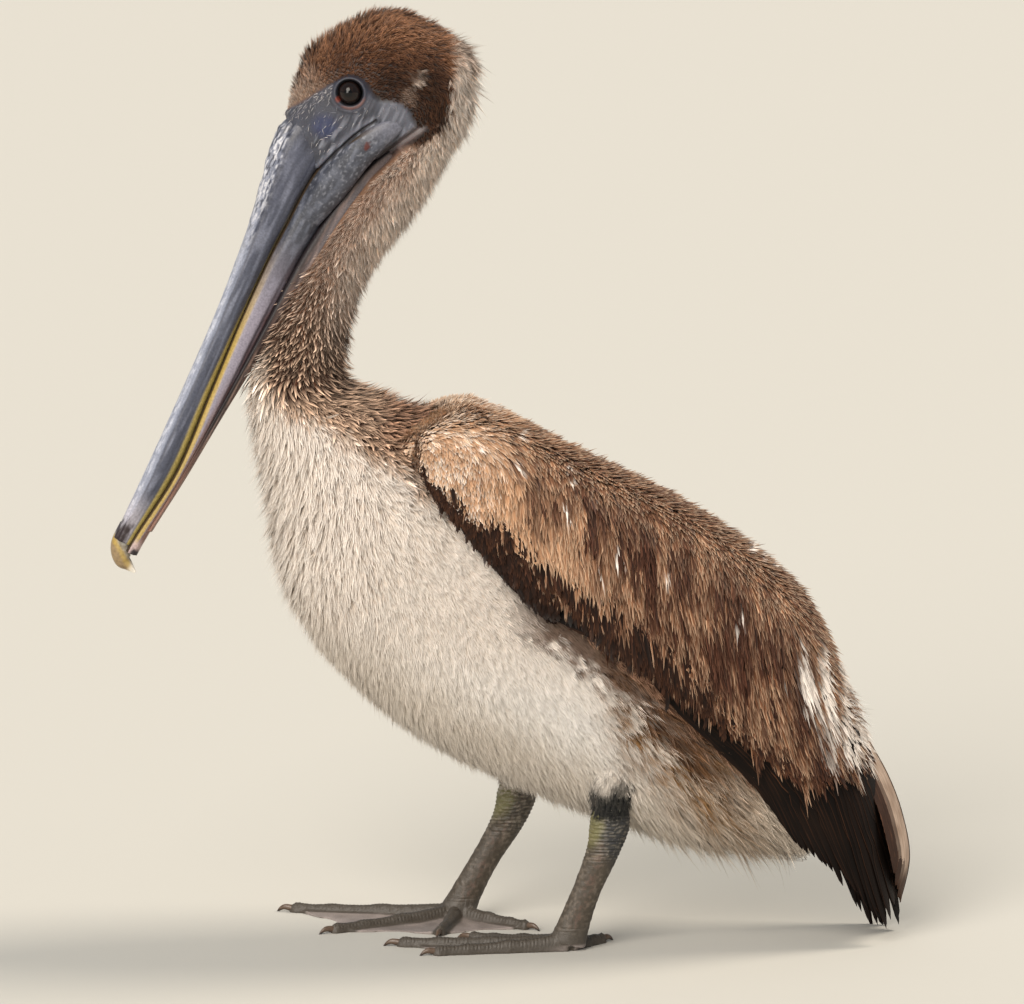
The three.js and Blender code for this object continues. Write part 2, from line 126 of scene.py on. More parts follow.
world = bpy.data.worlds.new("overcast_room")
world.use_nodes = True
world.node_tree.nodes["Background"].inputs["Color"].default_value = (*colour("#dfe3e6"), 1)
world.node_tree.nodes["Background"].inputs["Strength"].default_value = 0.5
bpy.context.scene.world = world

floor_data = bpy.data.meshes.new("floor")
REACH = 40.0
floor_data.from_pydata([(-REACH, -REACH, 0), (REACH, -REACH, 0), (REACH, REACH, 0), (-REACH, REACH, 0)],
                       [], [(0, 1, 2, 3)])
floor = bpy.data.objects.new("floor", floor_data)
bpy.context.scene.collection.objects.link(floor)
paint, _, _ = new_material("matt_floor_paint", Base_Color=(*colour("#c6c4bd"), 1), Roughness=0.9)
floor_data.materials.append(paint)

# ------------------------------------------------------------------ skin of the body
# One skin over head, neck, trunk, wings and thighs, under the feathers by the coat's depth and bare
# on the face. Smooth hulls over ribs are joined by a fine remesh, then lids and wrinkles are raised.

# A rib is one cross-section: front x, front z, back x, back z, half width.
NECK_RIBS = np.array([
    (-123, 517, -154, 566, 17), (-96, 527, -134, 614, 27), (-83, 534, -79, 638, 31),
    (-84, 535, -31, 612, 31), (-93, 530, -25, 584, 30), (-106, 519, -31, 555, 29),
    (-127, 494, -58, 505, 27), (-151, 453, -96, 453, 26), (-172, 406, -111, 405, 31),
    (-180, 379, -106, 383, 38)], float)
TRUNK_RIBS = np.array([
    (-173, 326, -62, 367, 56), (-152, 230, 3, 341, 80),
    (-84, 150, 86, 297, 87), (12, 99, 158, 245, 78), (104, 68, 205, 172, 57),
    (190, 59, 232, 104, 32)], float)
SHELL_RIBS = np.array([
    (-172, 324, -66, 352, 50), (-165, 276, -30, 373, 82), (-124, 185, 50, 337, 99),
    (-36, 122, 132, 295, 98), (60, 80, 198, 243, 84), (150, 55, 231, 175, 63),
    (205, 12, 255, 98, 49), (240, -34, 270, -4, 34)], float)
SHELL_SQUARENESS = 0.92
FINE_STEP = 2e-3   # for slopes by finite differences, in ribs or radians
FULL_TURN = 2 * math.pi


def spline(rows, place):
    """Catmull-Rom curve through rows at a place counted in rows: cubic in the rest of the place,
    with slopes of half the difference of the two neighbours, and the end rows doubled."""
    rows = np.asarray(rows, float)
    last = len(rows) - 1
    i = np.clip(np.floor(place).astype(int), 0, last - 1)
    w = np.asarray(place - i)
    if rows.ndim > 1:
        w = w[..., None]
    a, b = rows[np.maximum(i - 1, 0)], rows[i]
    c, d = rows[i + 1], rows[np.minimum(i + 2, last)]
    m, n = (c - a) / 2, (d - b) / 2
    return ((2 * b - 2 * c + m + n) * w + (3 * (c - b) - 2 * m - n)) * w * w + m * w + b


def signed_power(value, power):
    """|value| ** power with value's sign."""
    return np.sign(value) * np.abs(value) ** power


def hull(ribs, squareness=1.0):
    """A surface over ribs, as a function of t, counted in ribs, and the angle a round the rib:
    middle + reach * cos(a) ** squareness in x and z, half width * sin(a) ** squareness in y."""
    def surface(t, a):
        front_x, front_z, back_x, back_z, half = np.moveaxis(spline(ribs, t), -1, 0)
        c, s = signed_power(np.cos(a), squareness), signed_power(np.sin(a), squareness)
        return np.stack([
            (front_x + back_x) / 2 + (back_x - front_x) / 2 * c,
            half * s,
            (front_z + back_z) / 2 + (back_z - front_z) / 2 * c], -1)
    return surface


def unit(v):
    return v / np.maximum(np.linalg.norm(v, axis=-1, keepdims=True), 1e-9)


def slopes(surface, t, a):
    """The surface's point, its slopes along t and a, and the outward unit normal at (t, a)."""
    p = surface(t, a)
    along = (surface(t + FINE_STEP, a) - surface(t - FINE_STEP, a)) / (2 * FINE_STEP)
    round_ = (surface(t, a + FINE_STEP) - surface(t, a - FINE_STEP)) / (2 * FINE_STEP)
    return p, along, round_, unit(np.cross(along, round_))


def ramp(value, low, high):
    """0 below low, 1 above high and a smooth step between: 3 f^2 - 2 f^3."""
    f = np.clip((value - low) / (high - low), 0, 1)
    return f * f * (3 - 2 * f)


def dent(a, centre, width):
    """A bell: 1 at the centre, exp(-((a - centre) / width) ** 2) around it."""
    return np.exp(-((a - centre) / width) ** 2)


def side_distance(knots, p, pieces=4):
    """Distance in side view from points to a smooth line through knots (x, z): above zero on its left."""
    line = spline(knots, np.linspace(0, len(knots) - 1, (len(knots) - 1) * pieces + 1))
    start, run = line[:-1], np.diff(line, axis=0)
    gap = p[..., None, ::2] - start
    f = np.clip((gap * run).sum(-1) / (run * run).sum(-1), 0, 1)
    off = gap - f[..., None] * run
    length = np.linalg.norm(off, axis=-1)
    near = np.argmin(length, -1)[..., None]
    turn = run[:, 0] * gap[..., 1] - run[:, 1] * gap[..., 0]
    nearest = np.take_along_axis(length, near, -1)[..., 0]
    return nearest * np.sign(np.take_along_axis(turn, near, -1)[..., 0])


def inside(outline, p):
    """Whether points lie in a side-view polygon: a ray to the right crosses its sides an odd number of
    times."""
    a = np.array(outline, float)
    b = np.roll(a, -1, axis=0)
    x, z = p[..., 0, None], p[..., 2, None]
    crosses = (a[:, 1] > z) != (b[:, 1] > z)
    rise = np.where(b[:, 1] == a[:, 1], 1, b[:, 1] - a[:, 1])
    return (crosses & (x < a[:, 0] + (z - a[:, 1]) / rise * (b[:, 0] - a[:, 0]))).sum(-1) % 2 == 1


def grid_faces(rows, columns, closed):
    """Quads of a grid of points numbered row by row; a closed grid joins its last column to its first."""
    r = np.arange(rows - 1)[:, None] * columns
    c = np.arange(columns if closed else columns - 1)[None]
    d = (c + 1) % columns
    return np.stack([r + c, r + columns + c, r + columns + d, r + d], -1).reshape(-1, 4)


def capped_tube(rings):
    """A closed tube through rings of points (rows, columns, 3): quads between rings, and a fan of
    triangles from the middle of each end ring."""
    rows, columns = rings.shape[:2]
    points = np.concatenate([rings.reshape(-1, 3), rings[:1].mean(1), rings[-1:].mean(1)])
    k = np.arange(columns)
    after = (k + 1) % columns
    first, last = rows * columns, rows * columns + 1
    top = (rows - 1) * columns
    caps = np.concatenate([
        np.stack([np.full(columns, first), k, after], -1),
        np.stack([np.full(columns, last), top + after, top + k], -1)])
    return points, [grid_faces(rows, columns, True), caps]


def make_mesh(name, points, faces, attributes=None):
    """A mesh from points in millimetres and arrays of faces. attributes maps a name to (type, values);
    the map OFBake is given as one pair of values for each point."""
    mesh = bpy.data.meshes.new(name)
    corners = np.concatenate([f.ravel() for f in faces]).astype(np.int32)
    sizes = np.concatenate([np.full(len(f), f.shape[1]) for f in faces])
    starts = np.concatenate([[0], np.cumsum(sizes)[:-1]]).astype(np.int32)
    mesh.vertices.add(len(points))
    mesh.vertices.foreach_set("co", to_row(points).astype(np.float32).ravel())
    mesh.loops.add(len(corners))
    mesh.loops.foreach_set("vertex_index", corners)
    mesh.polygons.add(len(sizes))
    mesh.polygons.foreach_set("loop_start", starts)
    mesh.update(calc_edges=True)
    mesh.shade_smooth()
    for key, (kind, values) in (attributes or {}).items():
        values = np.asarray(values, np.float32)
        if key == "OFBake":
            layer = mesh.uv_layers.new(name=key)
            layer.data.foreach_set("uv", values[corners].ravel())
            continue
        layer = mesh.attributes.new(key, kind, "POINT")
        if kind == "FLOAT_COLOR":
            values = np.concatenate([values, np.ones((len(values), 1), np.float32)], 1)
        layer.data.foreach_set({"FLOAT_COLOR": "color", "FLOAT_VECTOR": "vector"}.get(kind, "value"),
                               values.ravel())
    return mesh


def place_piece(name, mesh, material, slot, *nodes):
    """Shows a mesh as a piece of the bird, riding on its one body, in place of the CAD nodes."""
    piece = bpy.data.objects.new(name, mesh)
    bpy.context.scene.collection.objects.link(piece)
    mesh.materials.append(material)
    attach(piece, "root")
    if nodes:
        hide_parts(*nodes)
    return piece


def welded(bodies, voxel, smoothing):
    """Closed bodies joined into one mesh by a voxel remesh, then smoothed."""
    points, faces, start = [], [], 0
    for body_points, body_faces in bodies:
        points.append(body_points)
        faces += [f + start for f in body_faces]
        start += len(body_points)
    rough = bpy.data.objects.new("rough", make_mesh("rough", np.concatenate(points), faces))
    bpy.context.scene.collection.objects.link(rough)
    remesh = rough.modifiers.new("remesh", "REMESH")
    remesh.mode = "VOXEL"
    remesh.voxel_size = voxel * MM
    smooth = rough.modifiers.new("smooth", "SMOOTH")
    smooth.iterations = smoothing
    made = bpy.data.meshes.new_from_object(rough.evaluated_get(bpy.context.evaluated_depsgraph_get()))
    bpy.data.objects.remove(rough)
    return made


def mesh_points(mesh):
    """A mesh's points in the bird's millimetres and its unit normals."""
    p = np.zeros(len(mesh.vertices) * 3, np.float32)
    n = np.zeros(len(mesh.vertices) * 3, np.float32)
    mesh.vertices.foreach_get("co", p)
    mesh.vertices.foreach_get("normal", n)
    return p.reshape(-1, 3).astype(float) / MM - SHIFT, n.reshape(-1, 3).astype(float)


def set_points(mesh, points):
    mesh.vertices.foreach_set("co", to_row(points).astype(np.float32).ravel())
    mesh.update()


BODY_RIBS = np.concatenate([NECK_RIBS, TRUNK_RIBS])
BREAST = len(NECK_RIBS) - 1   # the rib where the neck ends and the trunk begins
body_surface = hull(BODY_RIBS)
shell_surface = hull(SHELL_RIBS, SHELL_SQUARENESS)

# Side-view lines of the folded wing: its front and lower edge, where its coverts end, and where the
# pale streaked ones end over the dark ones.
WING_EDGE = [(-38, 378), (-58, 367), (-67, 350), (-60, 322), (-22, 279), (14, 241), (52, 222),
             (110, 161), (162, 108), (200, 70)]
COVERT_EDGE = [(-75, 330), (-28, 302), (44, 233), (110, 187), (168, 141), (216, 123), (262, 150)]
TAN_EDGE = [(-72, 338), (-53, 322), (-33, 302), (-10, 297), (3, 281), (21, 273), (40, 260), (56, 249),
            (82, 230), (100, 217), (126, 186), (150, 156), (180, 132), (216, 123), (262, 150)]
MANTLE_HALF = 24.0
EDGE_ROUND = 15.0   # radius of the wing's rolled front edge


def wing_surface(t, a):
    """The folded wing: the shell, sunk along y by a quarter round within EDGE_ROUND of its edge, but
    not where that edge meets the back."""
    p = shell_surface(t, a)
    near = np.clip(side_distance(WING_EDGE, p) / EDGE_ROUND, -0.4, 1)
    sunk = EDGE_ROUND * (1 - np.sqrt(np.clip(1 - (1 - near) ** 2, 0, 1))) * ramp(p[..., 2], 366, 350)
    p[..., 1] -= np.sign(p[..., 1]) * np.minimum(sunk, np.abs(p[..., 1]) * 0.5)
    return p


HEAD_COAT, NECK_COAT, TRUNK_COAT, WING_COAT = 2.4, 4.0, 8.0, 6.0   # depths of skin below plumage
# The bare face in side view: along the crown's edge, round the eye and cheek and down the jaw.
FACE = [(-172, 566), (-153.9, 567.6), (-141.8, 574.9), (-129.7, 583), (-118.3, 589.6), (-108.3, 593.7),
        (-99, 590.5), (-94.3, 583.5), (-89, 577.5), (-75.6, 575.6), (-68.9, 570.3), (-64.6, 560.9),
        (-54.5, 559), (-59, 556), (-76, 542), (-92, 527), (-106, 512.5), (-119, 495),
        (-131, 477.5), (-150, 447), (-172, 408.8), (-230, 408)]


def closed_hull(surface, ribs, coat, rows, columns):
    """A hull's grid sunk below the plumage by coat(t), with closed ends."""
    t = np.linspace(0, len(ribs) - 1, rows)[:, None]
    a = np.arange(columns)[None] * FULL_TURN / columns
    t, a = np.broadcast_arrays(t, a)
    p, _, _, normal = slopes(surface, t, a)
    return capped_tube(p - normal * coat(t)[..., None])


def wing_plate(side):
    """One wing's flesh: the wing's surface within its covert outline, sunk by the coat, as a slab."""
    rows, columns, slab = 150, 70, 16.0
    t = np.linspace(0.2, 6.4, rows)[:, None]
    a = side * np.linspace(0.1, 2.2, columns)[None]
    t, a = np.broadcast_arrays(t, a)
    p, _, _, normal = slopes(wing_surface, t, a)
    outer = (p - normal * WING_COAT).reshape(-1, 3)
    inner = outer - normal.reshape(-1, 3) * slab
    keep_point = (side_distance(WING_EDGE, p) > 2) \
        & (side_distance(COVERT_EDGE, p) > 4)
    quads = grid_faces(rows, columns, False)
    quads = quads[keep_point.ravel()[quads].all(1)]
    edges = np.stack([quads, np.roll(quads, -1, 1)], -1).reshape(-1, 2)
    key = edges.min(1) * rows * columns + edges.max(1)
    _, first, count = np.unique(key, return_index=True, return_counts=True)
    rim = edges[first[count == 1]]
    far = rows * columns
    wall = np.stack([rim[:, 1], rim[:, 0], rim[:, 0] + far, rim[:, 1] + far], -1)
    if side > 0:
        quads, wall = quads[:, ::-1], wall[:, ::-1]
    used, flat = np.unique(np.concatenate([quads, quads[:, ::-1] + far, wall]), return_inverse=True)
    return np.concatenate([outer, inner])[used], [flat.reshape(-1, 4)]


def oval_tube(knots, rows, columns, hint=(0.0, 0.0, 1.0)):
    """Rings of a tube through knots (x, y, z, radius up, radius across): each ring is an oval square
    to the curve, with its up direction as near to hint as it can be."""
    knots = np.array(knots, float)
    u = np.linspace(0, len(knots) - 1, rows)
    k = spline(knots, u)
    ahead = unit(spline(knots[:, :3], u + 0.01) - spline(knots[:, :3], u - 0.01))
    across = unit(np.cross(np.array(hint), ahead))
    up = np.cross(ahead, across)
    a = (np.arange(columns) * FULL_TURN / columns)[None, :, None]
    return k[:, None, :3] + up[:, None] * k[:, None, 3:4] * np.cos(a) \
        + across[:, None] * k[:, None, 4:5] * np.sin(a)


# Thigh: centre line and radii from the ankle up into the belly, for the left leg (-1) and the right.
ANKLES = {-1: (66, -48), 1: (3, 50)}


def thigh_surface(side):
    x, y = ANKLES[side]
    knots = [(x, y, 90, 12.5, 8.8), (x + 1, y, 102, 14, 12), (x + 4, y - side * 4, 122, 21, 18),
             (x + 8, y - side * 8, 146, 29, 23)]

    def surface(t, a):
        """Level ovals up the thigh, counted in knots from the belly (t = 0) to the ankle (t = 3)."""
        cx, cy, cz, fore, wide = np.moveaxis(spline(knots, 3 - t), -1, 0)
        return np.stack([cx + fore * np.cos(a), cy + wide * np.sin(a), cz + 0 * a], -1)
    return surface


def thigh_body(side):
    t, a = np.meshgrid(np.linspace(0, 3, 24), np.arange(36) * FULL_TURN / 36, indexing="ij")
    p, _, _, normal = slopes(thigh_surface(side), t, a)
    return capped_tube(p - normal * 2.0)


def lattice_noise(points, size, seed):
    """Smooth noise from 0 to 1 with lumps of a size in millimetres: random values at the corners of
    a cubic lattice, blended across each cell."""
    q = np.asarray(points, float) / size + seed * 17.3
    cell = np.floor(q).astype(np.int64)
    f = q - cell
    f = f * f * (3 - 2 * f)
    total = 0
    for corner in np.ndindex(2, 2, 2):
        c = cell + corner
        mixed = (c[..., 0] * 73856093) ^ (c[..., 1] * 19349663) ^ (c[..., 2] * 83492791) ^ (seed * 2654435)
        value = ((mixed * 1103515245 + 12345) >> 8 & 0xFFFF) / 0xFFFF
        weight = np.prod(np.where(np.array(corner) == 1, f, 1 - f), -1)
        total = total + value * weight
    return total


def paint(ground, *coats, palette=colour):
    """Lays coats over a ground one after another, each by an amount from 0 to 1 of a palette's colour."""
    for name, amount in coats:
        tone = palette(name)
        ground = ground + (tone - ground) * np.clip(amount, 0, 1)[(...,) + (None,) * tone.ndim]
    return ground


# Plumage colours, (near the skin, at the feather's tip), by place on the bird.
PLUMAGE = {name: np.array([colour(c) for c in pair]) for name, pair in {
    "crown": ("#2c150b", "#dfa37a"), "brow": ("#23130c", "#8a5c42"), "cheek": ("#1a0d08", "#74503a"),
    # the nape's pale colour is partly the plumage's own and partly painted light from above and behind
    "forehead": ("#7a5f4c", "#f0dfd0"), "nape": ("#c2aa97", "#fffdf9"), "throat": ("#755744", "#ffeedf"),
    "neck": ("#553929", "#f4d6be"), "collar": ("#2e180f", "#f0cbad"), "shoulder": ("#2c190f", "#cfa184"),
    "breast": ("#ccb9a7", "#fef8f1"), "belly": ("#ebe3da", "#fcfaf7"), "underside": ("#cdbfae", "#e9ddcf"),
    # of these, the underside tone is painted shade on the lower belly, not a colour of the plumage
    "flank": ("#452c17", "#b58a5c"), "vent": ("#a08d79", "#f6ecdf"), "armpit": ("#24140d", "#73523b"),
}.items()}
CHEEK_BACK = [(-56, 551), (-46.2, 559.8), (-42.3, 570), (-41.5, 590), (-44, 640)]
COLLAR_LINE = [(-200, 396), (-167, 385), (-141.7, 374), (-115, 360), (-88, 346), (-60, 322)]
HIND_NECK = NECK_RIBS[4:, 2:4]


def markings(p):
    """Colours near the skin and at the tips of the plumage at points on the head, neck and trunk:
    each region is laid over the ones before it by a smooth step across its border."""
    x, _, z = np.moveaxis(p, -1, 0)
    wander, speck, mottle = (lattice_noise(p, *kind) - 0.5 for kind in ((14, 3), (4, 5), (2.6, 6)))
    under_wing = side_distance(WING_EDGE, p) + 10 * wander
    above = side_distance(COLLAR_LINE, p) + 12 * wander
    behind = np.abs(side_distance(HIND_NECK, p)) + 12 * wander
    front = ramp(x, -172, -156)
    trunk = paint(
        PLUMAGE["belly"], ("breast", ramp(z + 10 * wander, 150, 240)),
        # painted shade: the lower belly darkens towards the floor
        ("underside", 0.8 * ramp(z + 0.5 * (x + 20 * wander), 190, 130)),
        ("vent", ramp(x + 20 * wander, 70, 130)),
        ("flank", ramp(x, 40, 80) * ramp(x, 190, 120) * ramp(under_wing, -66, -24)
         * (0.4 + 0.6 * ramp(speck + mottle, -0.15, 0.15))),
        ("armpit", 0.9 * ramp(x, -20, 25) * ramp(under_wing + 14 * speck + 18 * mottle, -22, -9)
         * ramp(x, 170, 110)),
        ("collar", ramp(above, -8, 6) * front),
        ("shoulder", ramp(above, 2, 18) * ramp(x, -105, -85)), palette=PLUMAGE.get)
    neck = paint(
        PLUMAGE["neck"], ("throat", ramp(z + 30 * speck, 415, 500)), ("collar", 0.8 * ramp(z, 445, 405)),
        # pale hind neck: partly its own pale plumage, partly painted light from above and behind
        ("nape", 0.95 * ramp(behind, 30, 8) * ramp(z, 385, 500)), palette=PLUMAGE.get)
    on_neck = np.maximum(ramp(above, 4, 12) * ramp(x, -92, -108) * front, ramp(z, 395, 420))
    head = ramp(side_distance(CHEEK_BACK, p) + 5 * speck, -1.5, 1.5) * ramp(z, 545, 552)
    return paint(
        trunk + (neck - trunk) * on_neck[..., None, None], ("crown", head),
        ("brow", 0.75 * ramp(z + 8 * wander, 622, 604) * ramp(x, -40, -52) * head),
        ("crown", ramp(x + 8 * wander, -118, -132) * head),
        ("cheek", ramp(z + 10 * wander, 606, 592) * ramp(x, -98, -88) * head),
        ("nape", 0.55 * ramp(np.hypot((x + 66) / 4.6, (z - 594) / 5) + 2 * speck, 1.4, 0.4) * head),
        ("throat", 0.35 * ramp(np.hypot((x + 70) / 5, (z - 580) / 6) + speck, 1.4, 0.5) * head),
        ("forehead", ramp(z + 0.42 * x - 14 * speck, 548, 516) * ramp(x, -108, -124) * head),
        palette=PLUMAGE.get)


# Side-view lines of the face: the mouth, and the lower edge of the jaw's branch over the pouch.
MOUTH_LINE = [(-91, 564), (-102, 556.5), (-112, 548), (-128, 532), (-138, 519)]
JAW_LINE = [(-58, 566), (-76, 551.5), (-88, 543), (-102, 525), (-115, 506)]


def wrinkles(p, stretch, size, seed):
    """Noise drawn out along the lines that run from the eye down to the bill."""
    x, y, z = np.moveaxis(p, -1, 0)
    return lattice_noise(np.stack([0.9 * x - 0.45 * z, stretch * (0.45 * x + 0.9 * z), 0.5 * y], -1),
                         size, seed)


def face_skin(p):
    """Bare skin's colours: slate with a blue patch before the eye and pale wrinkles towards the bill,
    dark lids with a pinkish lower one, painted shade in the crease along the mouth, and taupe pouch skin
    with painted shade in its creases below the jaw."""
    x, _, z = np.moveaxis(p, -1, 0)
    across, up = x - EYE[0], z - EYE[2]
    r = np.hypot(across, up)
    above_mouth, below_jaw = side_distance(MOUTH_LINE[::-1], p), side_distance(JAW_LINE, p)
    pouch = ramp(below_jaw, -1, 1)
    return paint(
        colour("#383a45") * (0.65 + 0.6 * lattice_noise(p, 5, 9)[..., None]),
        ("#262f52", 0.85 * ramp(np.hypot((x + 125) / 9, (z - 560) / 8), 1.4, 0.4)),
        ("#8b8e9a", 0.75 * ramp(z - 0.6 * (x + 130), 564, 540)
         * ramp(wrinkles(p, 0.12, 1.5, 10), 0.5, 0.8)),
        ("#5c5e69", 0.7 * ramp(x, -96, -80)),
        ("#70727f", 0.7 * ramp(above_mouth, 6, 2) * ramp(above_mouth, -1, 1) * ramp(x, -92, -98)),
        # painted shade in the crease along the mouth
        ("#17141a", 0.9 * ramp(np.abs(above_mouth), 1.5, 0.5) * ramp(x, -86, -92)),
        # pouch skin, with painted shade in its crease just below the jaw
        ("#55494a", pouch), ("#19151a", 0.85 * pouch * ramp(np.abs(below_jaw - 1), 1.6, 0.4)),
        ("#77706f", 0.7 * pouch * ramp(np.abs(below_jaw - 4), 1.8, 0.4)),
        # painted shade in a lower crease of the pouch skin
        ("#211b20", 0.8 * pouch * ramp(np.abs(below_jaw - 7.5), 1.4, 0.4)),
        ("#2e303d", 0.85 * ramp(r, 15, 11)), ("#131216", ramp(r, 9.6, 8.4)),
        ("#7a5650", 0.7 * ramp(np.abs(r - 10.2), 1.3, 0.4) * ramp(-up + 0.35 * across, 5, 9)),
        ("#6e2f22", 0.85 * ramp(np.hypot(across + 7.9, (up + 4.4) * 0.8), 2.2, 1.0)))


def coat_depth(t):
    """How far the skin lies below the plumage: thin on the head, thicker down the neck and trunk."""
    return HEAD_COAT + (NECK_COAT - HEAD_COAT) * ramp(t, 4, 7) \
        + (TRUNK_COAT - NECK_COAT) * ramp(t, BREAST - 0.5, BREAST + 1)


bodies = [closed_hull(body_surface, BODY_RIBS, coat_depth, 230, 110),
          wing_plate(-1), wing_plate(1), thigh_body(-1), thigh_body(1)]
skin = welded(bodies, 2.8, 8)


def refine(mesh, wanted, cuts):
    """Splits the faces whose points are all wanted, for finer forms there."""
    fine = bmesh.new()
    fine.from_mesh(mesh)
    fine.verts.ensure_lookup_table()
    edges = [e for e in fine.edges if wanted[e.verts[0].index] and wanted[e.verts[1].index]]
    bmesh.ops.subdivide_edges(fine, edges=edges, cuts=cuts, use_grid_fill=True, smooth=0)
    bmesh.ops.triangulate(fine, faces=[f for f in fine.faces if len(f.verts) > 4])
    fine.to_mesh(mesh)
    fine.free()


def toned(mesh, tones):
    """Gives a mesh's points the colours in an array, or those that a formula of the points returns."""
    values = tones(mesh_points(mesh)[0]) if callable(tones) else tones
    values = np.concatenate([values, np.ones((len(values), 1))], 1)
    mesh.attributes.new("tone", "FLOAT_COLOR", "POINT").data.foreach_set("color", values.ravel())
    return mesh


def toned_material(name, roughness, scale, depth, uneven=0.12, strength=0.6, between=(0.3, 0.7),
                   light=(0.8, 1.2), **constants):
    """Skin, scale or horn whose colour is the piece's own tone, broken by fine mottling of a scale per
    metre, which also raises it by depth and makes it rougher or smoother by uneven."""
    made, tree, shader = new_material(name, Roughness=roughness, **constants)
    tone = add_node(tree, "Attribute", attribute_name="tone")
    spot = add_node(tree, "TexCoord")
    mottle = add_node(tree, "TexNoise", {"Vector": spot.outputs["Object"], "Scale": scale, "Detail": 3.0})
    bright = add_node(tree, "MapRange", {"Value": mottle.outputs["Fac"], "From Min": between[0],
                                         "From Max": between[1], "To Min": light[0], "To Max": light[1]})
    shaded = add_node(tree, "VectorMath", {0: tone.outputs["Color"], "Scale": bright.outputs["Result"]},
                      operation="SCALE")
    tree.links.new(shaded.outputs["Vector"], shader.inputs["Base Color"])
    if uneven:
        rough = add_node(tree, "MapRange", {"Value": mottle.outputs["Fac"], "To Min": roughness - uneven,
                                            "To Max": roughness + uneven})
        tree.links.new(rough.outputs["Result"], shader.inputs["Roughness"])
    bump = add_node(tree, "Bump", {"Height": mottle.outputs["Fac"], "Strength": strength, "Distance": depth})
    tree.links.new(bump.outputs["Normal"], shader.inputs["Normal"])
    return made


where, _ = mesh_points(skin)
x, _, z = where.T
on_face = inside(FACE, where) & (z > 500) & (x > -160)
refine(skin, on_face | (np.hypot(x - EYE[0], z - EYE[2]) < 22), 3)
where, outward = mesh_points(skin)
x, _, z = where.T
eye_gap = np.hypot(x - EYE[0], (z - EYE[2]) * 1.04)
below_jaw = side_distance(JAW_LINE, where)
bare = np.clip(-side_distance(FACE[1:18], where) / 3 + 0.5, 0, 1) * (z > 470) * (x < -52)
raised = 1.3 * dent(eye_gap, 10, 1.4) + 0.6 * dent(eye_gap, 13.2, 1.1) * ramp(EYE[2] - z, -2, 5) \
    - 2.4 * ramp(eye_gap, 9.3, 7.9) - 9 * ramp(eye_gap, 7.6, 6.6)
raised += bare * (
    HEAD_COAT - 0.6 + 0.6 * (lattice_noise(where * [1, 1, 0.6], 4.2, 4) - 0.5)
    + (wrinkles(where, 0.15, 1.9, 6) - 0.5) * ramp(z - 0.6 * (x + 130), 570, 548)
    - 1.6 * ramp(np.abs(side_distance(MOUTH_LINE, where)), 1.8, 0.4) * ramp(x, -86, -92)
    + 1.1 * ramp(below_jaw, 0, 2) * np.cos((below_jaw - 0.8) * 1.25))
set_points(skin, where + outward * raised[:, None])
under_coverts = ramp(side_distance(WING_EDGE, where), -2, 5) * ramp(z, 395, 388) * ramp(x, -74, -68) \
    * ramp(side_distance(COVERT_EDGE, where), 0, 6)
skin_tone = markings(where)[:, 0]
skin_tone = skin_tone + (face_skin(where) - skin_tone) * bare[:, None]
toned(skin, paint(skin_tone, ("#5a3b2b", under_coverts)))
skin.shade_smooth()

# Living skin: soft and slightly moist, so it is satin, with pores and fine folds a millimetre apart.
bare_skin = toned_material("bare_bird_skin", 0.5, 900.0, 0.0006, 0, 0.5, (0, 1), (0.7, 1.3),
                           Subsurface_Weight=0.08)
place_piece("body_skin", skin, bare_skin, "breast", "head", "neck_upper", "neck_middle", "neck_lower",
            "trunk", "mantle", "wing_left_coverts", "wing_right_coverts", "thigh_left", "thigh_right")

# ------------------------------------------------------------------ bill
# Horn over bone: an upper half with a rounded ridge between two long grooves and a hooked nail at its
# end, and a lower half whose two branches run back over the cheeks. The pouch hangs folded below it.
BILL_ROOT = np.array([-125.0, 0.0, 540.0])
BILL_DIP = math.radians(63.3)
ALONG_BILL = np.array([-math.cos(BILL_DIP), 0, -math.sin(BILL_DIP)])
UP_BILL = np.array([-math.sin(BILL_DIP), 0, math.cos(BILL_DIP)])
# Heights above the bill's axis and half widths, every BILL_STEP from BILL_FROM.
BILL_FROM, BILL_STEP = -60.0, 60.0
CULMEN = [38, 37.5, 26.5, 19.6, 16.2, 13.9, 12.5]
MOUTH = [-38, -3, 2.2, 1.3, -2.5, -6, 0]
JAW_EDGE = [-52, -26.5, -17.3, -15.6, -14.4, -11.7, -7]
POUCH_EDGE = [-62, -40, -31, -23.5, -18, -13.5, -8]
BILL_HALF = [17, 19.5, 17.3, 15.1, 15.2, 15.3, 9]


def on_bill(row, s):
    return spline(row, np.clip((s - BILL_FROM) / BILL_STEP, 0, 6))


def bill_point(s, up, side):
    """s along the bill from its root, up towards the ridge and out to the side."""
    return BILL_ROOT + s[..., None] * ALONG_BILL + up[..., None] * UP_BILL + side[..., None] * [0, 1, 0]


def bill_place(p):
    """The other way: how far along the bill, up and to the side a point is."""
    off = p - BILL_ROOT
    return off @ ALONG_BILL, off @ UP_BILL, off[..., 1]


def share_between(top, bottom, s, up):
    """How high a point is between two of the bill's lines, from -1 at the lower to 1 at the upper."""
    high, low = on_bill(top, s), on_bill(bottom, s)
    return 2 * (up - low) / (high - low) - 1


def bill_bar(start, end, top, bottom, share, squareness, rows, columns, relief):
    """A closed bar along the bill: rings between its top and bottom lines, raised by relief(s, a) in
    millimetres, where a is the angle from the top."""
    s, a = np.meshgrid(np.linspace(start, end, rows), np.arange(columns) * FULL_TURN / columns,
                       indexing="ij")
    high, low, half = on_bill(top, s), on_bill(bottom, s), on_bill(BILL_HALF, s) * share
    swell = 1 + relief(s, np.minimum(a, FULL_TURN - a)) / np.maximum(half, 6)
    up = (high + low) / 2 + (high - low) / 2 * signed_power(np.cos(a), squareness) * swell
    return capped_tube(bill_point(s, up, half * signed_power(np.sin(a), squareness) * swell))


